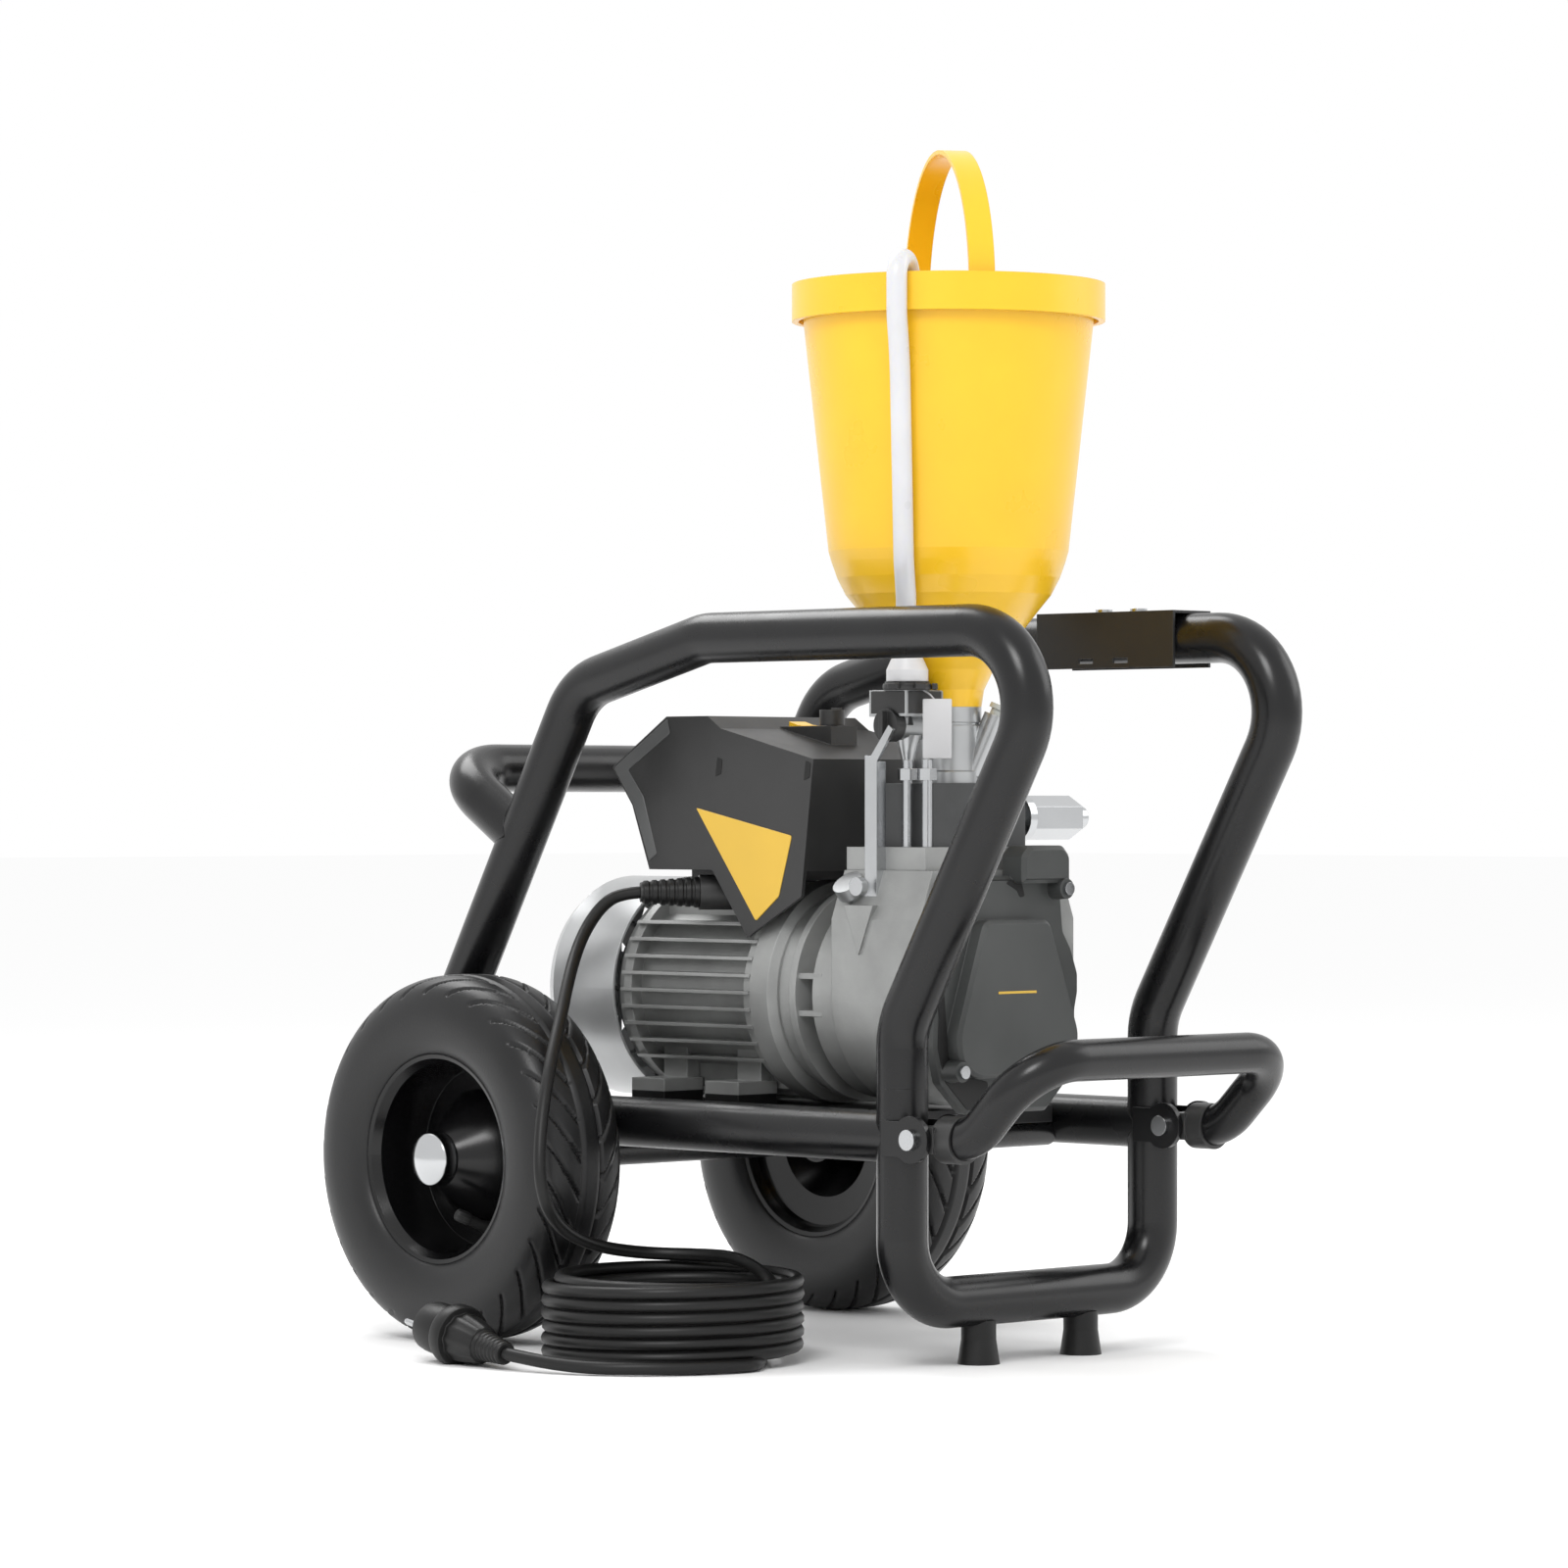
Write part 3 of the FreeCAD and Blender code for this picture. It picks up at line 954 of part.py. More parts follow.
def hopper():
    """Bucket with a skirted rim, a round bottom and a funnel neck, its strainer and its bail."""
    wall = "hopper_wall"
    rise, spread = "(hopper_low_z - neck_z)", "(hopper_low_r - neck_d / 2)"
    bowl = [(f"neck_z + {high} * {rise}", f"neck_d / 2 + {wide} * {spread}") for high, wide in BOWL]
    lining = [(high, f"{radius} - {wall}") for high, radius in bowl[::-1]]
    section = [("neck_z", "neck_d / 2"), *bowl, ("hopper_low_z", "hopper_low_r"),
               ("hopper_top - 12", "hopper_r"), ("hopper_top - hopper_rim_l", "hopper_r + 2"),
               ("hopper_top - hopper_rim_l", "rim_x"), ("hopper_top", "rim_x"),
               ("hopper_top", f"hopper_r - {wall}"), ("hopper_low_z", f"hopper_low_r - {wall}"),
               *lining, ("neck_z", f"neck_d / 2 - {wall}")]
    body = turned("Hopper", section, ("0", "pump_y", "0"), "Z")
    turn = Rotation(Vector(0, 0, 1), S["bail_turn"])
    sockets = []
    for k, sign in enumerate((-1, 1)):
        along = turn.multVec(Vector(sign, 0, 0))
        aim = Rotation(Vector(0, 0, 1), along)
        at = (f"{along.x:.6f} * (bail_pivot_r - 1)", f"pump_y + {along.y:.6f} * (bail_pivot_r - 1)",
              "bail_z")
        sockets.append(rod(f"BailSocket_{k}", "bail_pin_d + 2 * spin_gap", "9", at, rotation=aim))
    keep(cut("HopperShell", body, *sockets), "hopper")

    disc = rod("StrainerDisc", "neck_d + 5", "2", ("0", "pump_y", "neck_z + 20"))
    holes = []
    for ring, (count, radius) in enumerate(((6, 7), (12, 15), (18, 22))):
        for k in range(count):
            angle = 2 * math.pi * k / count
            holes.append(rod(f"Mesh_{ring}_{k}", "3", "2", (f"{radius * math.cos(angle):.4f}",
                                                            f"pump_y + ({radius * math.sin(angle):.4f})",
                                                            "neck_z + 20")))
    keep(cut("Strainer", disc, *holes), "hopper_strainer")

    inner = S["bail_pivot_r"] - S["bail_t"] - 2
    rise = S["bail_rise"] + S["hopper_top"] - L["bail_z"]
    out = []
    for grow in (0, S["bail_t"]):
        arc = Part.Ellipse(Vector(0, rise - S["bail_t"] + grow, 0), Vector(inner + grow, 0, 0), Vector())
        out.append(arc.toShape(-math.pi / 2, math.pi / 2))
    edges = [out[0], out[1],
             Part.LineSegment(Vector(inner, 0, 0), Vector(inner + S["bail_t"], 0, 0)).toShape(),
             Part.LineSegment(Vector(-inner, 0, 0), Vector(-inner - S["bail_t"], 0, 0)).toShape()]
    face = Part.Face(Part.Wire(Part.sortEdges(edges)[0]))
    strap = face.extrude(Vector(0, 0, S["bail_w"]))
    strap.translate(Vector(0, 0, -S["bail_w"] / 2))
    strap.rotate(Vector(), Vector(1, 0, 0), 90)
    for sign in (-1, 1):
        eye = Part.makeCylinder(S["bail_w"] / 2, S["bail_t"], Vector(sign * inner, 0, 0),
                                Vector(sign, 0, 0))
        pin = Part.makeCylinder(S["bail_pin_d"] / 2, S["bail_t"] + 6.5, Vector(sign * inner, 0, 0),
                                Vector(sign, 0, 0))
        strap = strap.fuse(eye).fuse(pin)
    bail = doc.addObject("Part::Feature", "Bail")
    bail.Shape = strap
    put(bail, ("0", "pump_y", "bail_z"), turn)
    keep(bail, "hopper_bail")


# Hand-placed route of the return hose, up the outside of the hopper and over its rim.
HOSE_ROUTE = [(-50, -114, 483), (-60, -122, 501), (-74, -136.5, 521), (-82.5, -142.5, 547),
              (-89, -147.5, 600),
              (-96, -152, 685), (-105, -158, 712), (-105, -158, 751), (-80, -145.5, 751), (-74, -142, 690)]
HOSE_BENDS = [14, 30, 40, 120, 120, 30, 13.5, 13.5]


def return_hose():
    """White hose from the return connector over the hopper's rim."""
    keep(bent_tube("ReturnHose", [Vector(*p) for p in HOSE_ROUTE], HOSE_BENDS, S["hose_d"]), "return_hose")


# ---------------------------------------------------------------- controller

def controller():
    """Box over the motor: cover with a pointed apron each side, base, board, console, switch and knob."""
    side = [("160", "407"), ("103", "443"), ("61", "443"), ("47", "434"), ("-46", "412"), ("-34", "316"),
            ("20", "287"), ("56", "box_floor"), ("121", "box_floor"), ("139", "380")]
    outer = plate("BoxOuter", side, "box_w", ("0 - box_half", "0", "0"), "X")
    hollow = [("154", "405"), ("102", "443 - box_wall"), ("62", "443 - box_wall"), ("48", "434 - box_wall"),
              ("-46 + box_wall", "412 - box_wall"), ("-36", "box_floor"), ("118", "box_floor"),
              ("134", "381")]
    inner = plate("BoxHollow", hollow, "box_w - 2 * box_wall", ("0 - box_half + box_wall", "0", "0"), "X")
    under = block("BoxUnder", ("box_w - 2 * box_wall", "240", "80"),
                  ("0 - box_half + box_wall", "-80", "box_floor - 80"))
    window = block("ConsoleSeat", ("console_w", "console_l", "40"),
                   ("0 - console_w / 2", "console_y", "console_z - 40"))
    shell = cut("BoxCover", outer, inner, under, window)

    tray = block("TraySolid", ("box_w - 2 * box_wall", "148", "3"),
                 ("0 - box_half + box_wall", "-32", "box_floor"))
    stand = block("TrayStand", ("70", "90", "box_floor - motor_z - motor_d / 2"),
                  ("-35", "28", "motor_z + motor_d / 2"))
    gland = rod("GlandBoss", "gland_d", "4", spot(GLAND_FOOT - GLAND_AIM * 4),
                rotation=Rotation(Vector(0, 0, 1), GLAND_AIM))
    web = block("GlandWeb", ("16", "16", "box_floor - 318"), spot(GLAND_FOOT + Vector(0, -22, 0)))
    boss = fuse("GlandBracket", [gland, web])
    keep(fuse("BoxBase", [tray, stand, boss]), "controller_base")

    board = block("BoardSheet", ("110", "100", "1.6"), ("-55", "0", "box_floor + 11"))
    posts = [rod(f"BoardPost_{k}", "6", "8", (x, y, "box_floor + 3"))
             for k, (x, y) in enumerate((x, y) for x in ("-48", "48") for y in ("8", "92"))]
    parts = [block("BoardDriver", ("34", "26", "22"), ("-30", "20", "box_floor + 12.6")),
             rod("BoardCapacitor", "30", "34", ("28", "64", "box_floor + 12.6"))]
    keep(fuse("Board", [board] + posts + parts), "controller_board")

    keep_console(shell)


def keep_console(shell):
    """Raised console on the cover's top, with its rocker switch and its pressure knob."""
    x0, y0 = "0 - console_w / 2", "console_y"
    solid = block("ConsoleSolid", ("console_w", "console_l", "30"), (x0, y0, "console_z - 30"))
    rocker = ("0 - rocker_w / 2", "console_y + console_l - rocker_l - 4")
    mouth = block("ConsoleMouth", ("rocker_w + 2 * free_gap", "rocker_l + 4 * free_gap", "12"),
                  (f"{rocker[0]} - free_gap", f"{rocker[1]} - 2 * free_gap", "console_z - 12"))
    knob = ("0", "console_y + knob_d / 2 + 3")
    socket = rod("ConsoleSocket", "stem_d + 2 * spin_gap", "12", (*knob, "console_z - 12"))
    pocket = block("ConsolePocket", ("console_w - 6", "console_l - 6", "18"),
                   (f"{x0} + 3", f"{y0} + 3", "console_z - 30"))
    keep(cut("BoxWithConsole", fuse("BoxFused", [shell, solid]), mouth, socket, pocket), "controller_cover")

    tilted = [("0.5 - rocker_l / 2", "-2.5"), ("rocker_l / 2", "0.5"), ("rocker_l / 2 - 0.6", "5.5"),
              ("-0.3", "2.4"),
              ("0 - rocker_l / 2 - 0.4", "2.4")]
    paddle = plate("RockerPaddle", tilted, "rocker_w",
                   (rocker[0], f"{rocker[1]} + rocker_l / 2", "console_z - 2"))
    barrel = rod("RockerBarrel", "6", "rocker_w",
                 (rocker[0], f"{rocker[1]} + rocker_l / 2", "console_z - 2"), "X")
    keep(fuse("Rocker", [paddle, barrel]), "power_switch")

    head = rod("KnobHead", "knob_d", "knob_h", (*knob, "console_z + free_gap"))
    stem = rod("KnobStem", "stem_d", "10 + free_gap", (*knob, "console_z - 10"))
    mark = block("KnobMark", ("2", "knob_d / 2", "1.5"),
                 ("-1", f"{knob[1]} - knob_d / 2", "console_z + free_gap + knob_h"))
    keep(fuse("PressureKnob", [head, stem, mark]), "pressure_knob")


# ---------------------------------------------------------------- mains cord

GLAND_AIM = Vector(-0.8, 0.6, 0)
GLAND_FOOT = Vector(-48.8, 64.2, 318)

# Hand-placed route of the cord from the strain relief, over the left tyre, to the top of the coil.
CORD_RUN = [(-100, 102.6, 318), (-112, 111.6, 317), (-125, 116, 308.5), (-139.5, 116, 293),
            (-155.5, 109, 276.5),
            (-176, 95, 256), (-195, 81, 233), (-215, 67, 211), (-231, 55, 191), (-243, 47, 168),
            (-251, 41, 144),
            (-254, 37, 122), (-248, 36, 103), (-232, 40, 89.5), (-209, 46, 80), (-184, 50, 73.5),
            (-160, 50, 69.5), (-138, 42, 67)]
# From the bottom of the coil to the plug.
CORD_TAIL = [(-192, -121, 4.7), (-223, -117.5, 5.2), (-250, -106, 4.8), (-274, -88, 5.4), (-292, -66, 5),
             (-303, -41, 6.2), (-309, -16, 8.6), (-311, 8, 11)]
PLUG_END = Vector(-311, 8, 11)
PLUG_AIM = Vector(11.5, 89, 12.6).normalize()


def cord_radii(points):
    """Makes each arc as large as its two runs allow."""
    radii = []
    for k in range(1, len(points) - 1):
        back = points[k] - points[k - 1]
        ahead = points[k + 1] - points[k]
        half = back.getAngle(ahead) / 2
        radii.append(0.45 * min(back.Length, ahead.Length) / math.tan(half))
    return radii


def cord_tube(name, route, label):
    points = [Vector(*p) for p in route]
    radii = cord_radii(points)
    item = bent_tube(name, points, radii, S["cord_d"])
    length = tube_path(points, radii).Length
    section = math.pi * S["cord_d"] ** 2 / 4
    print(label, "radii", [round(r) for r in radii])
    print(label, "runs", [round((b - a).Length) for a, b in zip(points, points[1:])])
    print(label, "length", round(length, 1), "volume ratio",
          round(item.Shape.Volume / (section * length), 4))
    keep(item, label)


def mains_cord():
    """Gland with its ribbed strain relief, the cord's runs, the coil and the moulded plug."""
    aim = Rotation(Vector(0, 0, 1), GLAND_AIM)
    nut = rod("GlandNut", "gland_d", "gland_l", spot(GLAND_FOOT), rotation=aim)
    taper = cone("GlandTaper", "gland_d - 5", "cord_d + 5", "relief_l",
                 spot(GLAND_FOOT + GLAND_AIM * S["gland_l"]), rotation=aim)
    keep(fuse("CableGland", [nut, taper]), "cable_gland")
    cord_tube("CordRun", CORD_RUN, "power_cord_run")
    cord_tube("CordTail", CORD_TAIL, "power_cord_tail")

    centre = ("coil_x", "coil_y", "0.2")
    outer = rod("CoilOuter", "2 * coil_r", "coil_high", centre)
    inner = rod("CoilInner", "2 * (coil_r - coil_ring)", "coil_high", centre)
    keep(cut("CordCoil", outer, inner), "power_cord_coil")

    turn = Rotation(Vector(0, 0, 1), PLUG_AIM)

    def plug_point(along, side=0):
        return spot(PLUG_END + PLUG_AIM * along + turn.multVec(Vector(side, 0, 0)))

    bush = cone("PlugBush", "14", "22", "34", plug_point(0), rotation=turn)
    grip = cone("PlugGrip", "26", "34", "26", plug_point(26), rotation=turn)
    collar = rod("PlugCollar", "plug_d", "12", plug_point(52), rotation=turn)
    face = rod("PlugFace", "plug_d - 7", "26", plug_point(64), rotation=turn)
    pins = [rod(f"PlugPin_{k}", "4.8", "19", plug_point(90, side), rotation=turn) for k,
            side in enumerate((-9.5, 9.5))]
    keep(group("Plug", [fuse("PlugBody", [bush, grip, collar, face])] + pins), "power_plug")


# ---------------------------------------------------------------- fasteners

def fasteners():
    """Pivot bolts of the handle, saddle bolts, cover screws, stay screw and the two clamp studs."""
    bolts = []
    for side, sign in SIDES:
        half = "(tube_r - 0.5 + cheek_t)"
        shank = rod(f"PivotShank_{side}", "pivot_d", f"2 * {half}",
                    (f"{sign} * rail_x - {half}", "pivot_y", "rail_z"), "X")
        heads = [rod(f"PivotHead_{side}_{k}", "small_head_d", "3.5", (x, "pivot_y", "rail_z"), "X")
                 for k, x in enumerate((f"{sign} * rail_x - {half} - 3.5", f"{sign} * rail_x + {half}"))]
        bolts.append(fuse(f"PivotBolt_{side}", [shank] + heads))
    for k in (-1, 0):
        y = f"saddle_y + 51 + {k} * saddle_bolt_gap - 33"
        bolts.append(rod(f"SaddleBolt_{k + 1}", "small_head_d - 2", "2.5",
                         ("rail_x", y, "top_z + tube_r + saddle_t")))
    for k, (x, z) in enumerate(((-47, "pump_top - 13"), (47, "pump_top - 13"), (-57, "motor_z - 50"),
                                (57, "motor_z - 50"))):
        bolts.append(rod(f"CoverScrew_{k}", "9", "3", (str(x), "front_face - 3", z), "Y"))
    bolts.append(rod("StayScrew", "13", "6", ("0 - pump_w / 2 - 9", "pump_y + 5.5", "pump_top - 11"), "X"))
    for k, y in enumerate(("pump_y - 12", "pump_y - 31")):
        stud = rod(f"Stud_{k}", "stud_d", "stud_l", ("0 - manifold_w / 2 - stud_d", y, "head_top"))
        nut = hexagon(f"StudNut_{k}", "12", "8",
                      ("0 - manifold_w / 2 - stud_d", y, "head_top + stud_l - 14"))
        bolts.append(fuse(f"ClampStud_{k}", [stud, nut]))
    keep(group("Fasteners", bolts), "fasteners")


front_hoop()
frames = [side_frame(side, sign) for side, sign in SIDES]
rear_handle(frames)
cross_members()
base_plate()
rubber_feet()
tool_saddle()
handle_sleeves(front_handle())
for side, sign in SIDES:
    wheel(side, sign)
axle()
motor_housing()
motor_pads()
motor_shells()
motor_core()
pump = pump_housing()
piston_group()
front_cover()
pump_head()
stay_and_filler(pump)
relief_valve()
hopper()
return_hose()
controller()
mains_cord()
fasteners()

doc.recompute()

failed = [item.Label for item in doc.Objects if "Invalid" in item.State or "Error" in item.State]
if failed:
    raise SystemExit(f"failed objects: {failed}")
labels = [item.Label for item in PARTS]
if len(set(labels)) != len(labels):
    raise SystemExit("two sub-parts share a label")
for item in PARTS:
    shape = item.Shape
    if shape.isNull() or not shape.isValid() or not shape.Solids:
        raise SystemExit(f"{item.Label} is null, invalid or empty")

os.makedirs("parts", exist_ok=True)
for item in PARTS:
    item.Shape.exportStep(f"parts/{item.Label}.step")
print(len(PARTS), "sub-parts written")
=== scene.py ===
"""Airless paint sprayer on a two-wheeled tube trolley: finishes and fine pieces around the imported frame."""
import logging
import math
from dataclasses import dataclass
from enum import Enum

import bmesh
import bpy
import numpy as np
from mathutils import Euler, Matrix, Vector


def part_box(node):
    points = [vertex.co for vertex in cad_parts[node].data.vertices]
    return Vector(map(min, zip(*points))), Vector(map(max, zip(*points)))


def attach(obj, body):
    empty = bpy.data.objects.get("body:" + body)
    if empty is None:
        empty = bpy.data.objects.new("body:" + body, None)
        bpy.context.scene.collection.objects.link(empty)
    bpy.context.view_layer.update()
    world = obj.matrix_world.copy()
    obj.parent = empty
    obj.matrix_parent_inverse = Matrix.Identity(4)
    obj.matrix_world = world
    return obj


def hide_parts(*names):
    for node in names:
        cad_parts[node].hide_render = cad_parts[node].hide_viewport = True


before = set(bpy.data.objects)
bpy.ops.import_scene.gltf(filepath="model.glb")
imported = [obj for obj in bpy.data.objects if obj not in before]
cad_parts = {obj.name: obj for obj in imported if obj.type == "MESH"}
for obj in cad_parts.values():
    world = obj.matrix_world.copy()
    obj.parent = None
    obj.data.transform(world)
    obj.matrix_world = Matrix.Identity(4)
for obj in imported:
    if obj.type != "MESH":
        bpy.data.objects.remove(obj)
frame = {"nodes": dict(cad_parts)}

LOG = logging.getLogger("sprayer")
MM = 0.001
Point = tuple[float, float, float]
Flat = tuple[float, float]
Colour = tuple[float, float, float]


class Body(Enum):
    """CAD bodies that pieces ride on."""

    FRAME = "frame"
    WHEEL_LEFT = "wheel_left"
    WHEEL_RIGHT = "wheel_right"


class Texture(Enum):
    """Kinds of surface relief."""

    POWDER = "powder"
    CAST = "cast"
    TURNED = "turned"
    MOULDED = "moulded"
    RUBBER = "rubber"


@dataclass(frozen=True)
class Finish:
    """One procedural finish.

    Attributes:
        colour: Main colour, linear.
        roughness: Mean roughness.
        metallic: Metallic share.
        texture: Kind of relief.
        grain: Grain per metre.
        depth: Strength of the relief.
        spread: How far the colour wanders, as a share.
        wear: How much the edges brighten.
        coat: Clear coat weight.
        glow: Subsurface weight of a translucent resin.
        shine: Specular level.
    """

    colour: Colour
    roughness: float
    metallic: float = 0.0
    texture: Texture = Texture.MOULDED
    grain: float = 900.0
    depth: float = 0.12
    spread: float = 0.12
    wear: float = 0.1
    coat: float = 0.0
    glow: float = 0.0
    shine: float = 0.5


FINISHES: dict[str, Finish] = {
    "satin_black_frame": Finish((0.004, 0.004, 0.0045), 0.27, texture=Texture.POWDER, grain=1500, depth=0.06,
                                spread=0.25, wear=0.03, shine=0.42),
    "black_sheet": Finish((0.009, 0.009, 0.0095), 0.44, texture=Texture.POWDER, grain=1300, spread=0.2),
    "zinc_steel": Finish((0.50, 0.51, 0.52), 0.24, metallic=1.0, texture=Texture.TURNED, depth=0.02,
                         spread=0.05, wear=0.05),
    "chrome": Finish((0.52, 0.53, 0.54), 0.14, metallic=1.0, texture=Texture.TURNED, depth=0.01, spread=0.02,
                     wear=0.0),
    "cast_aluminium": Finish((0.33, 0.335, 0.33), 0.46, metallic=0.55, texture=Texture.CAST, grain=620,
                             depth=0.2, spread=0.16, wear=0.3),
    "bright_aluminium": Finish((0.45, 0.46, 0.465), 0.3, metallic=0.9, texture=Texture.TURNED, depth=0.03,
                               spread=0.06),
    "cover_silver": Finish((0.56, 0.57, 0.575), 0.34, metallic=0.55, texture=Texture.POWDER, grain=1200,
                           depth=0.08, spread=0.08, coat=0.2),
    "black_shield": Finish((0.05, 0.053, 0.052), 0.42, grain=1500),
    "black_plastic": Finish((0.026, 0.026, 0.026), 0.42, grain=1400, depth=0.14, spread=0.14),
    "grey_plastic": Finish((0.16, 0.165, 0.165), 0.42, grain=1200, depth=0.1, spread=0.1),
    "yellow_plastic": Finish((0.86, 0.51, 0.012), 0.3, grain=500, depth=0.03, spread=0.03, wear=0.0, coat=0.2,
                             glow=0.12),
    "white_plastic": Finish((0.66, 0.66, 0.67), 0.35, depth=0.05, spread=0.04, wear=0.0),
    "white_hose": Finish((0.64, 0.64, 0.66), 0.3, grain=700, depth=0.05, spread=0.04, wear=0.0, coat=0.2,
                         glow=0.3),
    "clear_grey_plastic": Finish((0.42, 0.44, 0.42), 0.25, grain=700, depth=0.04, spread=0.06, wear=0.0,
                                 coat=0.3),
    "tyre_rubber": Finish((0.006, 0.006, 0.0065), 0.36, texture=Texture.RUBBER, grain=800, depth=0.15,
                          spread=0.25, shine=0.42),
    "black_rubber": Finish((0.005, 0.005, 0.005), 0.42, texture=Texture.RUBBER, depth=0.15, spread=0.2,
                           shine=0.36),
    "rim_black": Finish((0.003, 0.003, 0.0033), 0.2, texture=Texture.POWDER, grain=1200, depth=0.04,
                        spread=0.1, wear=0.02, shine=0.4),
    "laminated_steel": Finish((0.2, 0.2, 0.205), 0.42, metallic=0.8, texture=Texture.CAST, depth=0.15,
                              spread=0.2, wear=0.2),
    "circuit_board": Finish((0.02, 0.16, 0.06), 0.4, depth=0.1, spread=0.3, wear=0.0),
}
WORN_BY: dict[str, tuple[str, ...]] = {
    "satin_black_frame": ("front_hoop", "side_frame_left", "side_frame_right", "rear_handle", "cross_members",
                          "front_handle"),
    "black_sheet": ("base_plate", "tool_saddle"),
    "zinc_steel": ("axle", "fasteners", "shaft_bearings", "piston", "piston_spring", "stay_bar", "hopper_strainer",
                   "wheel_bearings_left", "wheel_bearings_right", "eccentric_shaft"),
    "chrome": ("axle_caps", "outlet_fitting"),
    "cast_aluminium": ("motor_housing", "rear_end_shield", "end_shield", "bell_housing", "pump_housing",
                       "head_block"),
    "bright_aluminium": ("inlet_housing", "relief_valve", "filler_cap"),
    "cover_silver": ("fan_cover",),
    "black_shield": ("front_cover",),
    "black_plastic": ("controller_cover", "controller_base", "handle_sleeves", "hose_clamp", "relief_knob",
                      "pressure_knob", "cable_gland"),
    "grey_plastic": ("cooling_fan",),
    "yellow_plastic": ("hopper", "hopper_bail", "power_switch"),
    "white_plastic": ("hose_fitting",),
    "white_hose": ("return_hose",),
    "clear_grey_plastic": ("pusher_button",),
    "tyre_rubber": ("tyre_left", "tyre_right"),
    "black_rubber": ("rubber_feet", "motor_pads", "diaphragm", "power_cord_run", "power_cord_tail",
                     "power_cord_coil", "power_plug"),
    "rim_black": ("rim_left", "rim_right"),
    "laminated_steel": ("stator", "rotor"),
    "circuit_board": ("controller_board",),
    "dark_block": ("manifold",),
}
EXTRA: dict[str, Finish] = {
    "badge_yellow": Finish((0.72, 0.45, 0.04), 0.35, grain=700, depth=0.03, spread=0.03, wear=0.0, coat=0.3),
    "tag_white": Finish((0.62, 0.62, 0.63), 0.4, grain=700, depth=0.03, spread=0.03, wear=0.0),
    "dark_block": Finish((0.07, 0.072, 0.073), 0.4, metallic=0.4, texture=Texture.CAST, grain=700, depth=0.08,
                         spread=0.15, wear=0.15),
    # Painted highlight: lighter grey for bands that stand in for the controller's lit rear chamfers.
    "chamfer_highlight_grey": Finish((0.085, 0.087, 0.087), 0.4, grain=1400, depth=0.1, spread=0.1),
    # Painted shade: near-black for flat slabs laid on slots, a hole and a shaded corner, standing in for the shade
    # inside them.
    "painted_shade_black": Finish((0.008, 0.008, 0.008), 0.7, grain=700, depth=0.05, spread=0.1, wear=0.0),
}


class NodeTree:
    """Short hand for adding and wiring shader nodes."""

    def __init__(self, tree: bpy.types.NodeTree) -> None:
        """Keeps the tree."""
        self.tree = tree

    def add(self, kind: str, **settings: object) -> bpy.types.Node:
        """Adds a node and sets its plain properties.

        Args:
            kind: Node type.
            settings: Properties to set.

        Returns:
            The node.
        """
        node = self.tree.nodes.new(kind)
        for key, value in settings.items():
            setattr(node, key, value)
        return node

    def wire(self, source: bpy.types.NodeSocket, target: bpy.types.NodeSocket) -> None:
        """Links two sockets."""
        self.tree.links.new(source, target)


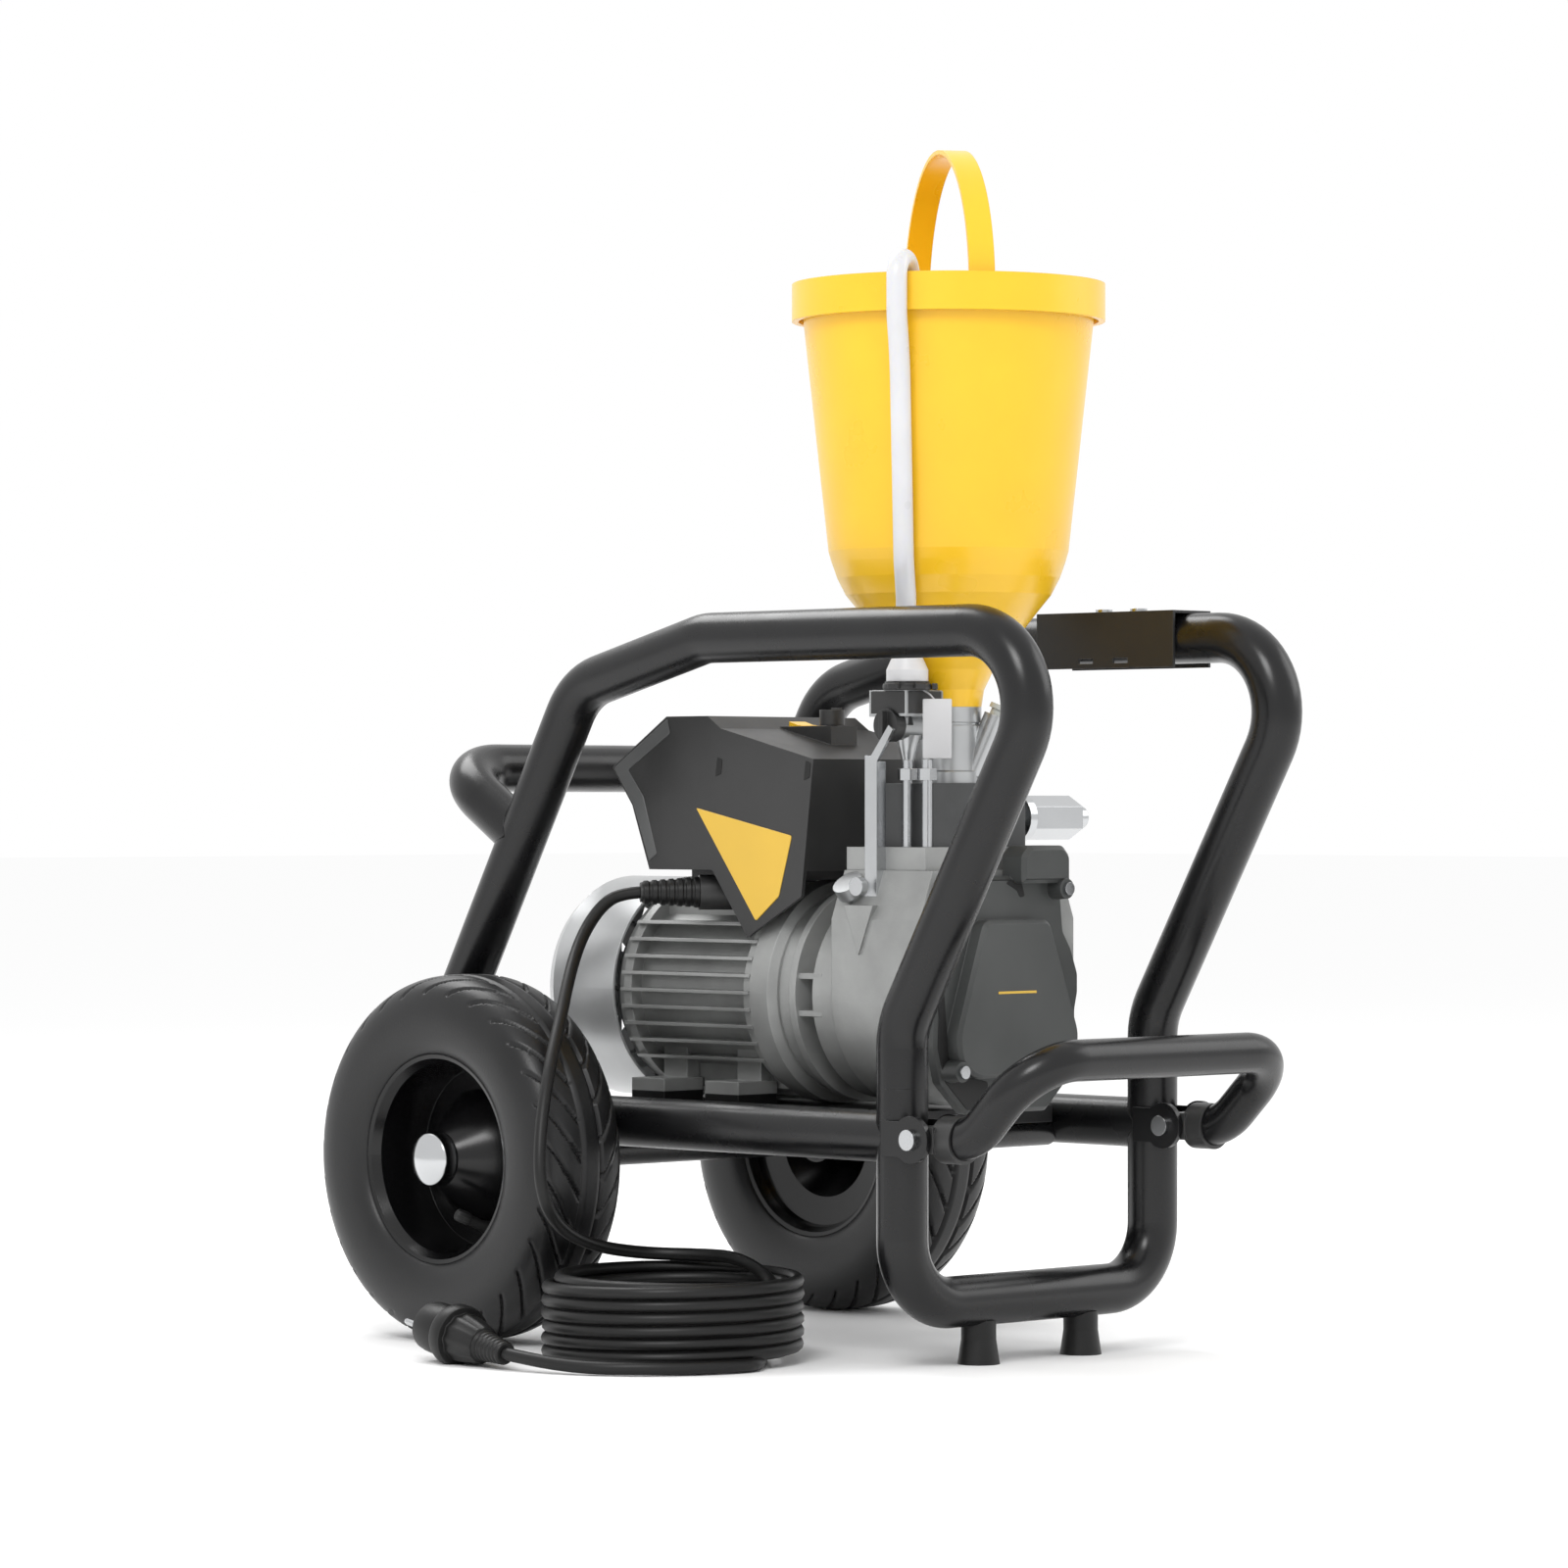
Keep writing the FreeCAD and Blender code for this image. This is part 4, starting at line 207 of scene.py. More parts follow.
class EffectGroups:
    """Node groups that the finishes share: grain, turned lines and edge wear."""

    def __init__(self) -> None:
        """Builds the three groups once."""
        self.grain = self._grain()
        self.turned = self._turned()
        self.wear = self._wear()

    @staticmethod
    def _start(name: str, inputs: dict[str, float], outputs: dict[str, str]) -> tuple[NodeTree, object, object]:
        """Makes an empty group with its sockets.

        Args:
            name: Group name.
            inputs: Input name to default number.
            outputs: Output name to socket type.

        Returns:
            The tree helper, its input node and its output node.
        """
        group = bpy.data.node_groups.new(name, "ShaderNodeTree")
        for label, value in inputs.items():
            group.interface.new_socket(label, in_out="INPUT", socket_type="NodeSocketFloat").default_value = value
        for label, kind in outputs.items():
            group.interface.new_socket(label, in_out="OUTPUT", socket_type=kind)
        helper = NodeTree(group)
        return helper, helper.add("NodeGroupInput"), helper.add("NodeGroupOutput")

    def _grain(self) -> bpy.types.NodeTree:
        """Fine noise as relief and slow noise as mottle, on rounded edges."""
        t, source, sink = self._start("Surface Grain", {"Scale": 900.0, "Depth": 0.1},
                                      {"Normal": "NodeSocketVector", "Mottle": "NodeSocketFloat"})
        place = t.add("ShaderNodeTexCoord")
        fine = t.add("ShaderNodeTexNoise")
        fine.inputs["Detail"].default_value = 3.0
        slow = t.add("ShaderNodeTexNoise")
        slow.inputs["Scale"].default_value = 22.0
        slow.inputs["Detail"].default_value = 4.0
        edge = t.add("ShaderNodeBevel", samples=4)
        edge.inputs["Radius"].default_value = 0.0008
        bump = t.add("ShaderNodeBump")
        bump.inputs["Distance"].default_value = 0.0006
        t.wire(place.outputs["Object"], fine.inputs["Vector"])
        t.wire(place.outputs["Object"], slow.inputs["Vector"])
        t.wire(source.outputs["Scale"], fine.inputs["Scale"])
        t.wire(source.outputs["Depth"], bump.inputs["Strength"])
        t.wire(fine.outputs["Fac"], bump.inputs["Height"])
        t.wire(edge.outputs["Normal"], bump.inputs["Normal"])
        t.wire(bump.outputs["Normal"], sink.inputs["Normal"])
        t.wire(slow.outputs["Fac"], sink.inputs["Mottle"])
        return t.tree

    def _turned(self) -> bpy.types.NodeTree:
        """Fine tool lines: noise squeezed along one direction, on rounded edges."""
        t, source, sink = self._start("Tool Lines", {"Scale": 700.0, "Depth": 0.05},
                                      {"Normal": "NodeSocketVector", "Mottle": "NodeSocketFloat"})
        place = t.add("ShaderNodeTexCoord")
        squeeze = t.add("ShaderNodeMapping")
        squeeze.inputs["Scale"].default_value = (0.15, 0.15, 1.0)
        lines = t.add("ShaderNodeTexNoise")
        lines.inputs["Detail"].default_value = 2.0
        edge = t.add("ShaderNodeBevel", samples=4)
        edge.inputs["Radius"].default_value = 0.0006
        bump = t.add("ShaderNodeBump")
        bump.inputs["Distance"].default_value = 0.0004
        slow = t.add("ShaderNodeTexNoise")
        slow.inputs["Scale"].default_value = 30.0
        t.wire(place.outputs["Object"], slow.inputs["Vector"])
        t.wire(place.outputs["Object"], squeeze.inputs["Vector"])
        t.wire(squeeze.outputs["Vector"], lines.inputs["Vector"])
        t.wire(source.outputs["Scale"], lines.inputs["Scale"])
        t.wire(source.outputs["Depth"], bump.inputs["Strength"])
        t.wire(lines.outputs["Fac"], bump.inputs["Height"])
        t.wire(edge.outputs["Normal"], bump.inputs["Normal"])
        t.wire(bump.outputs["Normal"], sink.inputs["Normal"])
        t.wire(slow.outputs["Fac"], sink.inputs["Mottle"])
        return t.tree

    def _wear(self) -> bpy.types.NodeTree:
        """Mask of rubbed edges: how far the rounded normal turns from the flat one, broken by noise."""
        t, source, sink = self._start("Edge Wear", {"Amount": 0.2}, {"Mask": "NodeSocketFloat"})
        edge = t.add("ShaderNodeBevel", samples=4)
        edge.inputs["Radius"].default_value = 0.0015
        shape = t.add("ShaderNodeNewGeometry")
        dot = t.add("ShaderNodeVectorMath", operation="DOT_PRODUCT")
        near = t.add("ShaderNodeMapRange")
        near.inputs["From Min"].default_value = 0.995
        near.inputs["From Max"].default_value = 0.9
        noise = t.add("ShaderNodeTexNoise")
        noise.inputs["Scale"].default_value = 120.0
        place = t.add("ShaderNodeTexCoord")
        broken = t.add("ShaderNodeMath", operation="MULTIPLY")
        scaled = t.add("ShaderNodeMath", operation="MULTIPLY", use_clamp=True)
        t.wire(edge.outputs["Normal"], dot.inputs[0])
        t.wire(shape.outputs["Normal"], dot.inputs[1])
        t.wire(dot.outputs["Value"], near.inputs["Value"])
        t.wire(place.outputs["Object"], noise.inputs["Vector"])
        t.wire(near.outputs["Result"], broken.inputs[0])
        t.wire(noise.outputs["Fac"], broken.inputs[1])
        t.wire(broken.outputs[0], scaled.inputs[0])
        t.wire(source.outputs["Amount"], scaled.inputs[1])
        t.wire(scaled.outputs[0], sink.inputs["Mask"])
        return t.tree


class Paintshop:
    """Makes each finish's material once and hands it out."""

    def __init__(self, finishes: dict[str, Finish]) -> None:
        """Keeps the finishes and builds the shared groups."""
        self.finishes = finishes
        self.effects = EffectGroups()
        self.made: dict[str, bpy.types.Material] = {}

    def material(self, name: str) -> bpy.types.Material:
        """The material of a finish, made at first use.

        Args:
            name: Finish name.

        Returns:
            The material.
        """
        if name not in self.made:
            self.made[name] = self._build(name, self.finishes[name])
        return self.made[name]

    def _build(self, name: str, finish: Finish) -> bpy.types.Material:
        """Wires colour, roughness and relief of one finish.

        Args:
            name: Material name.
            finish: Its values.

        Returns:
            The material.
        """
        material = bpy.data.materials.new("finish_" + name)
        material.use_nodes = True
        material.node_tree.nodes.clear()
        t = NodeTree(material.node_tree)
        shader = t.add("ShaderNodeBsdfPrincipled")
        sink = t.add("ShaderNodeOutputMaterial")
        relief = t.add("ShaderNodeGroup")
        relief.node_tree = self.effects.turned if finish.texture is Texture.TURNED else self.effects.grain
        relief.inputs["Scale"].default_value = finish.grain
        relief.inputs["Depth"].default_value = finish.depth
        wear = t.add("ShaderNodeGroup")
        wear.node_tree = self.effects.wear
        wear.inputs["Amount"].default_value = finish.wear
        ramp = t.add("ShaderNodeValToRGB")
        low = tuple(c * (1 - finish.spread) for c in finish.colour)
        high = tuple(min(1.0, c * (1 + finish.spread)) for c in finish.colour)
        ramp.color_ramp.elements[0].position = 0.3
        ramp.color_ramp.elements[1].position = 0.7
        ramp.color_ramp.elements[0].color = (*low, 1)
        ramp.color_ramp.elements[1].color = (*high, 1)
        rubbed = t.add("ShaderNodeMix", data_type="RGBA")
        rubbed.inputs["B"].default_value = (*(min(1.0, 0.25 + 0.7 * c) for c in finish.colour), 1)
        gloss = t.add("ShaderNodeMapRange")
        gloss.inputs["From Min"].default_value = 0.3
        gloss.inputs["From Max"].default_value = 0.7
        gloss.inputs["To Min"].default_value = finish.roughness - 0.04
        gloss.inputs["To Max"].default_value = finish.roughness + 0.05
        t.wire(relief.outputs["Mottle"], ramp.inputs["Fac"])
        t.wire(relief.outputs["Mottle"], gloss.inputs["Value"])
        t.wire(wear.outputs["Mask"], rubbed.inputs["Factor"])
        t.wire(ramp.outputs["Color"], rubbed.inputs["A"])
        t.wire(rubbed.outputs["Result"], shader.inputs["Base Color"])
        t.wire(gloss.outputs["Result"], shader.inputs["Roughness"])
        t.wire(relief.outputs["Normal"], shader.inputs["Normal"])
        t.wire(shader.outputs["BSDF"], sink.inputs["Surface"])
        shader.inputs["Metallic"].default_value = finish.metallic
        shader.inputs["Coat Weight"].default_value = finish.coat
        shader.inputs["Coat Roughness"].default_value = 0.25
        shader.inputs["Specular IOR Level"].default_value = finish.shine
        shader.inputs["Subsurface Weight"].default_value = finish.glow
        shader.inputs["Subsurface Radius"].default_value = (0.004, 0.003, 0.001)
        return material

    def dress_frame(self, nodes: dict[str, bpy.types.Object]) -> None:
        """Gives every CAD node its finish.

        Args:
            nodes: Name to CAD object.
        """
        for finish, wearers in WORN_BY.items():
            for name in wearers:
                nodes[name].data.materials.clear()
                nodes[name].data.materials.append(self.material(finish))


@dataclass
class Shell:
    """A closed surface through a grid of points, in millimetres.

    Attributes:
        rings: Grid of points, ring by ring.
        loop: Whether the last ring joins the first; otherwise both ends are capped.
    """

    rings: np.ndarray
    loop: bool = False

    def mesh(self) -> tuple[np.ndarray, list[list[int]]]:
        """Points and faces: each cell of the grid is a quad, and open ends get one face.

        Returns:
            Point array and face list.
        """
        rows, count = self.rings.shape[:2]
        i = np.arange(rows if self.loop else rows - 1)[:, None]
        j = np.arange(count)[None, :]
        k, m = (i + 1) % rows, (j + 1) % count
        quads = np.stack([i * count + j, i * count + m, k * count + m, k * count + j], -1).reshape(-1, 4).tolist()
        if not self.loop:
            quads += [list(range(count))[::-1], list(range((rows - 1) * count, rows * count))]
        return self.rings.reshape(-1, 3), quads


def axes(aim: Point) -> tuple[np.ndarray, np.ndarray, np.ndarray]:
    """Two unit vectors square to an aim, and the aim: cross products with the less parallel of Z and X.

    Args:
        aim: Direction.

    Returns:
        Side, up and aim unit vectors.
    """
    n = np.array(aim, float) / np.linalg.norm(aim)
    ref = np.array([0.0, 0.0, 1.0]) if abs(n[2]) < 0.9 else np.array([1.0, 0.0, 0.0])
    side = np.cross(ref, n)
    side /= np.linalg.norm(side)
    return side, np.cross(n, side), n


def turned(profile: list[Flat], foot: Point, aim: Point, steps: int = 40,
           flutes: int = 0, flute: float = 0.0, closed: bool = False) -> Shell:
    """Profile of (radius, distance along) turned round an axis: foot + along * aim + radius * (cos, sin).

    Args:
        profile: Radius and distance pairs.
        foot: Start of the axis.
        aim: Direction of the axis.
        steps: Points round.
        flutes: Waves round the axis.
        flute: Height of the waves.
        closed: Whether the profile is a closed ring.

    Returns:
        The shell.
    """
    side, up, n = axes(aim)
    shape = np.array(profile, float)
    angle = np.linspace(0, 2 * np.pi, steps, endpoint=False)
    wave = 1 + flute * np.cos(flutes * angle)
    radius = np.maximum(shape[:, :1], 0.01) * wave[None, :]
    around = np.cos(angle)[:, None] * side + np.sin(angle)[:, None] * up
    rings = np.array(foot, float) + shape[:, 1, None, None] * n + radius[..., None] * around[None]
    return Shell(rings, closed)


def rounded(corners: list[Flat], radius: float, steps: int = 5) -> np.ndarray:
    """Outline whose corners are quadratic curves from a point before each corner to one after it.

    Args:
        corners: Corner points in order.
        radius: Distance from the corner to both curve ends.
        steps: Points per corner.

    Returns:
        Outline points.
    """
    p = np.array(corners, float)
    back, ahead = np.roll(p, 1, 0) - p, np.roll(p, -1, 0) - p
    a = p + back / np.linalg.norm(back, axis=1)[:, None] * radius
    b = p + ahead / np.linalg.norm(ahead, axis=1)[:, None] * radius
    t = np.linspace(0, 1, steps)[None, :, None]
    return ((1 - t) ** 2 * a[:, None] + 2 * t * (1 - t) * p[:, None] + t ** 2 * b[:, None]).reshape(-1, 2)


def slab(outline: np.ndarray, foot: Point, right: Point, up: Point, thick: float, edge: float = 0.3) -> Shell:
    """Plate on an outline: foot + a * right + b * up, raised along right x up, with its top edge drawn in.

    Args:
        outline: Points in the plate's plane.
        foot: Origin of that plane.
        right: First direction.
        up: Second direction.
        thick: Height of the plate.
        edge: Width of the slanted edge.

    Returns:
        The shell.
    """
    r, u = np.array(right, float), np.array(up, float)
    n = np.cross(r, u)
    along = np.roll(outline, -1, 0) - np.roll(outline, 1, 0)
    inward = np.stack([-along[:, 1], along[:, 0]], -1)
    inward /= np.linalg.norm(inward, axis=1)[:, None] + 1e-9
    area = np.sum(outline[:, 0] * np.roll(outline[:, 1], -1) - outline[:, 1] * np.roll(outline[:, 0], -1))
    drawn = outline + inward * edge * np.sign(area)
    levels = [(outline, 0.0), (outline, thick - edge), (drawn, thick)]
    rings = np.stack([np.array(foot, float) + o[:, :1] * r + o[:, 1:] * u + h * n for o, h in levels])
    return Shell(rings)


def swept(path: np.ndarray, section: np.ndarray, up: Point = (0, 0, 1)) -> Shell:
    """Section carried along a path, its axes square to the path's direction and to a fixed up.

    Args:
        path: Points of the path.
        section: Points of the section.
        up: Direction that the section's second axis keeps near.

    Returns:
        The shell.
    """
    line = np.array(path, float)
    ahead = np.gradient(line, axis=0)
    ahead /= np.linalg.norm(ahead, axis=1)[:, None]
    side = np.cross(ahead, np.array(up, float))
    side /= np.linalg.norm(side, axis=1)[:, None]
    top = np.cross(side, ahead)
    rings = line[:, None] + section[None, :, :1] * side[:, None] + section[None, :, 1:] * top[:, None]
    return Shell(rings[:, ::-1])


def smoothed(points: list[Flat], rounds: int = 3) -> np.ndarray:
    """Closed outline whose corners are cut at a quarter of each side, again and again.

    Args:
        points: Corner points in order.
        rounds: How often the corners are cut.

    Returns:
        Outline points.
    """
    p = np.array(points, float)
    for _ in range(rounds):
        q = np.roll(p, -1, 0)
        p = np.stack([0.75 * p + 0.25 * q, 0.25 * p + 0.75 * q], 1).reshape(-1, p.shape[1])
    return p


class Workshop:
    """Turns shells into finished pieces that ride on the frame."""

    def __init__(self, paint: Paintshop) -> None:
        """Keeps the paintshop."""
        self.paint = paint

    def piece(self, name: str, shells: list[Shell], finish: str, body: Body,
              angle: float = 35.0) -> bpy.types.Object:
        """Joins shells into one mesh object and hangs it on a body.

        Args:
            name: Piece name.
            shells: Its closed shells.
            finish: Finish name.
            body: Body that it rides on.
            angle: Sharper edges than this stay sharp, in degrees.

        Returns:
            The object.
        """
        points, faces, offset = [], [], 0
        for shell in shells:
            at, cells = shell.mesh()
            points.append(at * MM)
            faces += [[k + offset for k in cell] for cell in cells]
            offset += len(at)
        mesh = bpy.data.meshes.new(name)
        mesh.from_pydata(np.concatenate(points).tolist(), [], faces)
        work = bmesh.new()
        work.from_mesh(mesh)
        bmesh.ops.recalc_face_normals(work, faces=work.faces)
        work.to_mesh(mesh)
        work.free()
        mesh.shade_smooth()
        mesh.set_sharp_from_angle(angle=math.radians(angle))
        mesh.materials.append(self.paint.material(finish))
        made = bpy.data.objects.new(name, mesh)
        bpy.context.scene.collection.objects.link(made)
        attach(made, body.value)
        LOG.info("%s: %d faces on %s", name, len(mesh.polygons), body.value)
        return made


@dataclass
class Studio:
    """Camera, floor and lamps.

    Attributes:
        eye: Camera place, in metres.
        turn: Camera heading, in degrees.
        lens: Focal length, in millimetres.
        rise: Vertical shift.
    """

    eye: Point = (-2.8889, -2.9045, 0.3809)
    turn: float = -44.27
    lens: float = 132.66
    rise: float = 0.01254

    def build(self) -> None:
        """Makes the camera, the pale floor, the sky light and the soft lamps."""
        scene = bpy.context.scene
        data = bpy.data.cameras.new("camera")
        data.lens, data.sensor_width, data.shift_y = self.lens, 36.0, self.rise
        data.clip_end = 60.0
        camera = bpy.data.objects.new("camera", data)
        camera.location = self.eye
        camera.rotation_euler = Euler((math.radians(90), 0, math.radians(self.turn)))
        scene.collection.objects.link(camera)
        scene.camera = camera
        world = bpy.data.worlds.new("studio")
        world.use_nodes = True
        world.node_tree.nodes["Background"].inputs["Color"].default_value = (1, 1, 1, 1)
        world.node_tree.nodes["Background"].inputs["Strength"].default_value = 1.0
        scene.world = world
        scene.view_settings.view_transform = "Standard"
        self._floor()
        self._lamp("key", (-2.6, -1.6, 2.8), 1.2, 52)
        self._lamp("fill", (2.4, -1.6, 1.9), 1.8, 18)
        self._lamp("back", (0.2, 1.8, 2.8), 1.6, 40)

    def _lamp(self, name: str, at: Point, size: float, watts: float) -> None:
        """Adds a soft square lamp that faces the object.

        Args:
            name: Lamp name.
            at: Its place.
            size: Its side length.
            watts: Its power.
        """
        data = bpy.data.lights.new(name, "AREA")
        data.size, data.energy = size, watts
        lamp = bpy.data.objects.new(name, data)
        lamp.location = at
        aim = np.array([0.0, 0.0, 0.35]) - np.array(at)
        flat = math.hypot(aim[0], aim[1])
        lamp.rotation_euler = Euler((math.pi / 2 - math.atan2(-aim[2], flat), 0, math.atan2(-aim[0], aim[1])))
        bpy.context.scene.collection.objects.link(lamp)

    @staticmethod
    def _floor() -> None:
        """Lays a wide pale sheet as the floor."""
        mesh = bpy.data.meshes.new("floor")
        mesh.from_pydata([(-30, -30, 0), (30, -30, 0), (30, 30, 0), (-30, 30, 0)], [], [(0, 1, 2, 3)])
        floor = bpy.data.objects.new("floor", mesh)
        pale = bpy.data.materials.new("floor_pale")
        pale.use_nodes = True
        shader = pale.node_tree.nodes["Principled BSDF"]
        shader.inputs["Base Color"].default_value = (0.97, 0.97, 0.97, 1)
        shader.inputs["Roughness"].default_value = 0.9
        shader.inputs["Specular IOR Level"].default_value = 0.0
        mesh.materials.append(pale)
        bpy.context.scene.collection.objects.link(floor)


@dataclass
class PowerCord:
    """Mains cord: the run from the gland, the coil and the tail with its plug, in millimetres.

    Attributes:
        thick: Diameter.
        length: Real length, in metres; not used.
        centre: Middle of the coil on the ground.
        outer: Radius of the outer column.
        inner: Radius of the inner column.
        well: Radius at which the lead goes down inside.
        start: Radius where the lead comes in.
        low: Height of the lowest turn's middle.
        high: Height of the highest turn's middle.
        lead_z: Height of the lead over the top turns.
        first: Heading of the coil's start, in degrees.
        sweep: Whole angle of the coil, in degrees.
        waver: How far the turns wander in and out.
        per_turn: Control points per turn.
        run: Points from the gland to the coil.
        tail: Points from the coil to the plug.
        plug_aim: Direction in which the plug lies.
    """

    thick: float = 9.0
    length: float = 7.3
    centre: Flat = (-188.0, -25.0)
    outer: float = 85.4
    inner: float = 76.4
    well: float = 67.2
    start: float = 83.6
    low: float = 4.7
    high: float = 58.0
    lead_z: float = 67.0
    first: float = 53.3
    sweep: float = 4735.0
    waver: float = 0.35
    per_turn: int = 16
    run: tuple[Point, ...] = (
        (-100, 102.6, 318), (-112, 111.6, 317), (-125, 116, 308.5), (-139.5, 116, 293), (-155.5, 109, 276.5),
        (-176, 95, 256), (-195, 81, 233), (-215, 67, 211), (-231, 55, 191), (-243, 47, 168), (-251, 41, 144),
        (-254, 37, 122), (-248, 36, 103), (-232, 40, 89.5), (-209, 46, 80), (-184, 50, 73.5), (-160, 50, 69.5),
        (-138, 42, 67))
    tail: tuple[Point, ...] = (
        (-192, -121, 4.7), (-223, -117.5, 5.2), (-250, -106, 4.8), (-274, -88, 5.4), (-292, -66, 5),
        (-303, -41, 6.2), (-309, -16, 8.6), (-311, 8, 11))
    plug_aim: Point = (11.5, 89.0, 12.6)

    def coil(self) -> np.ndarray:
        """Control points of the coil.

        The angle falls steadily. Radius and height follow knots: over the top turns into the well, down it to the
        floor, up the inner column, out over its top, and down the outer column to the floor.

        Returns:
            Points in millimetres.
        """
        knots = np.array([0, 45, 235, 300, 2460, 2520, self.sweep], float)
        turn = np.arange(360 / self.per_turn, self.sweep, 360 / self.per_turn)
        r = np.interp(turn, knots, [self.start, self.well, self.well, self.inner, self.inner, self.outer,
                                    self.outer])
        z = np.interp(turn, knots, [self.lead_z, self.lead_z, self.low, self.low, self.high, self.high, self.low])
        r = r + self.waver * np.sin(np.radians(turn * 1.37))
        grown = r / math.cos(math.pi / self.per_turn)
        angle = np.radians(self.first - turn)
        return np.stack([self.centre[0] + grown * np.cos(angle), self.centre[1] + grown * np.sin(angle), z], -1)

    def build(self, shop: Workshop) -> None:
        """Draws the cord as one spline and adds the plug.

        Args:
            shop: Maker of pieces.
        """
        points = np.concatenate([np.array(self.run, float), self.coil(), np.array(self.tail, float)]) * MM
        curve = bpy.data.curves.new("power_cord", "CURVE")
        curve.dimensions = "3D"
        curve.bevel_depth = self.thick / 2 * MM
        curve.bevel_resolution = 3
        curve.resolution_u = 5
        curve.use_fill_caps = True
        spline = curve.splines.new("NURBS")
        spline.points.add(len(points) - 1)
        spline.points.foreach_set("co", np.c_[points, np.ones(len(points))].ravel())
        spline.order_u = 3
        spline.use_endpoint_u = True
        curve.materials.append(shop.paint.material("black_rubber"))
        cord = bpy.data.objects.new("power_cord", curve)
        bpy.context.scene.collection.objects.link(cord)
        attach(cord, Body.FRAME.value)
        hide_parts("power_cord_run", "power_cord_tail", "power_cord_coil")
        plug = self.plug(shop)
        LOG.info("power cord: %d control points", len(points))

    def plug(self, shop: Workshop) -> bpy.types.Object:
        """Moulded plug: ribbed bush, fluted grip, collar, face and two pins.

        Args:
            shop: Maker of pieces.

        Returns:
            The plug.
        """
        foot = self.tail[-1]
        side, _, aim = axes(self.plug_aim)
        bush = [(5.5, 0)] + [(7 + 0.11 * s + (0.0, 0.8, 0.8, 0.0)[s % 4], float(s)) for s in range(28)] + [(9, 30)]
        grip = [(9, 25), (12.4, 26), (13, 28), (14.6, 36), (16.2, 46), (16.6, 52), (14, 53)]
        collar = [(15, 51.5), (20.6, 52), (21.4, 54), (21.4, 61), (20.6, 63.4), (18, 64)]
        face = [(17, 62), (18, 64), (17.8, 84), (17.2, 88.6), (15.6, 90), (0, 90)]
        shells = [turned(bush, foot, tuple(aim), 28), turned(grip, foot, tuple(aim), 48, 12, 0.03),
                  turned([(0, 51)] + collar + [(0, 64.2)], foot, tuple(aim), 48),
                  turned([(0, 62)] + face, foot, tuple(aim), 48, 2, 0.015)]
        plug = shop.piece("power_plug_body", shells, "black_rubber", Body.FRAME)
        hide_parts("power_plug")
        pin = [(2.4, 89), (2.4, 106), (1.9, 108), (1.0, 109), (0, 109)]
        feet = [tuple(np.array(foot) + side * s * 9.5) for s in (-1, 1)]
        shop.piece("power_plug_pins", [turned([(0, 89)] + pin, f, tuple(aim), 20) for f in feet], "zinc_steel",
                   Body.FRAME)
        return plug


@dataclass
class Tyre:
    """Treaded tyre that stands for its CAD ring, in millimetres.

    Attributes:
        outer: Distance along the axle and radius of half of the outside, from bead to crown.
        inner: The same for the whole inside.
        pitch_count: Slanting grooves round each half.
        groove: Depth of the grooves.
        ring_at: Distance of the two ring grooves from the middle.
        around: Sections round the axle.
    """

    outer: tuple[Flat, ...] = ((23, 72), (29, 74), (33, 74), (38, 82), (40, 94), (40, 106), (37, 117), (31, 124.5),
                               (22, 128.6), (11, 130))
    inner: tuple[Flat, ...] = ((-17, 72), (-24, 80), (-34, 94), (-32, 113), (-14, 121), (14, 121), (32, 113),
                               (34, 94), (24, 80), (17, 72))
    pitch_count: int = 30
    groove: float = 2.6
    ring_at: float = 8.5
    around: int = 720

    def build(self, shop: Workshop, side: str, body: Body) -> None:
        """Carries the tyre's section round the axle and sinks the tread grooves.

        The point is centre + x along the axle + radius * (cos, sin). The radius drops where the slanting
        groove phase, turn * count + |x| * slope, is near a whole number, and in two rings beside the middle.

        Args:
            shop: Maker of pieces.
            side: left or right.
            body: Wheel body.
        """
        low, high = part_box("tyre_" + side)
        centre = np.array((low + high) / 2) / MM
        mirrored = tuple((-x, r) for x, r in self.outer[::-1])
        ring = smoothed(list(self.outer + mirrored + self.inner), 3)
        x, r = ring[:, 0][None], ring[:, 1][None]
        turn = np.linspace(0, 1, self.around, endpoint=False)[:, None]
        phase = turn * self.pitch_count + np.sign(x) * 0.25 + np.abs(x) * 0.035 + 0.0006 * x ** 2
        near = np.abs(phase - np.round(phase))
        slant = np.clip((0.085 - near) / 0.03, 0, 1) * np.clip((np.abs(x) - 9) / 1.5, 0, 1)
        rings = np.clip((1.6 - np.abs(np.abs(x) - self.ring_at)) / 0.8, 0, 1)
        crown = np.clip((r - 116.5) / 2.5, 0, 1)
        far = r - self.groove * np.maximum(slant, rings) * crown
        angle = 2 * np.pi * turn
        at = np.stack([np.broadcast_to(centre[0] + x, far.shape), centre[1] + far * np.cos(angle),
                       centre[2] + far * np.sin(angle)], -1)
        tyre = shop.piece("tread_" + side, [Shell(at, True)], "tyre_rubber", body, angle=50)
        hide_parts("tyre_" + side)


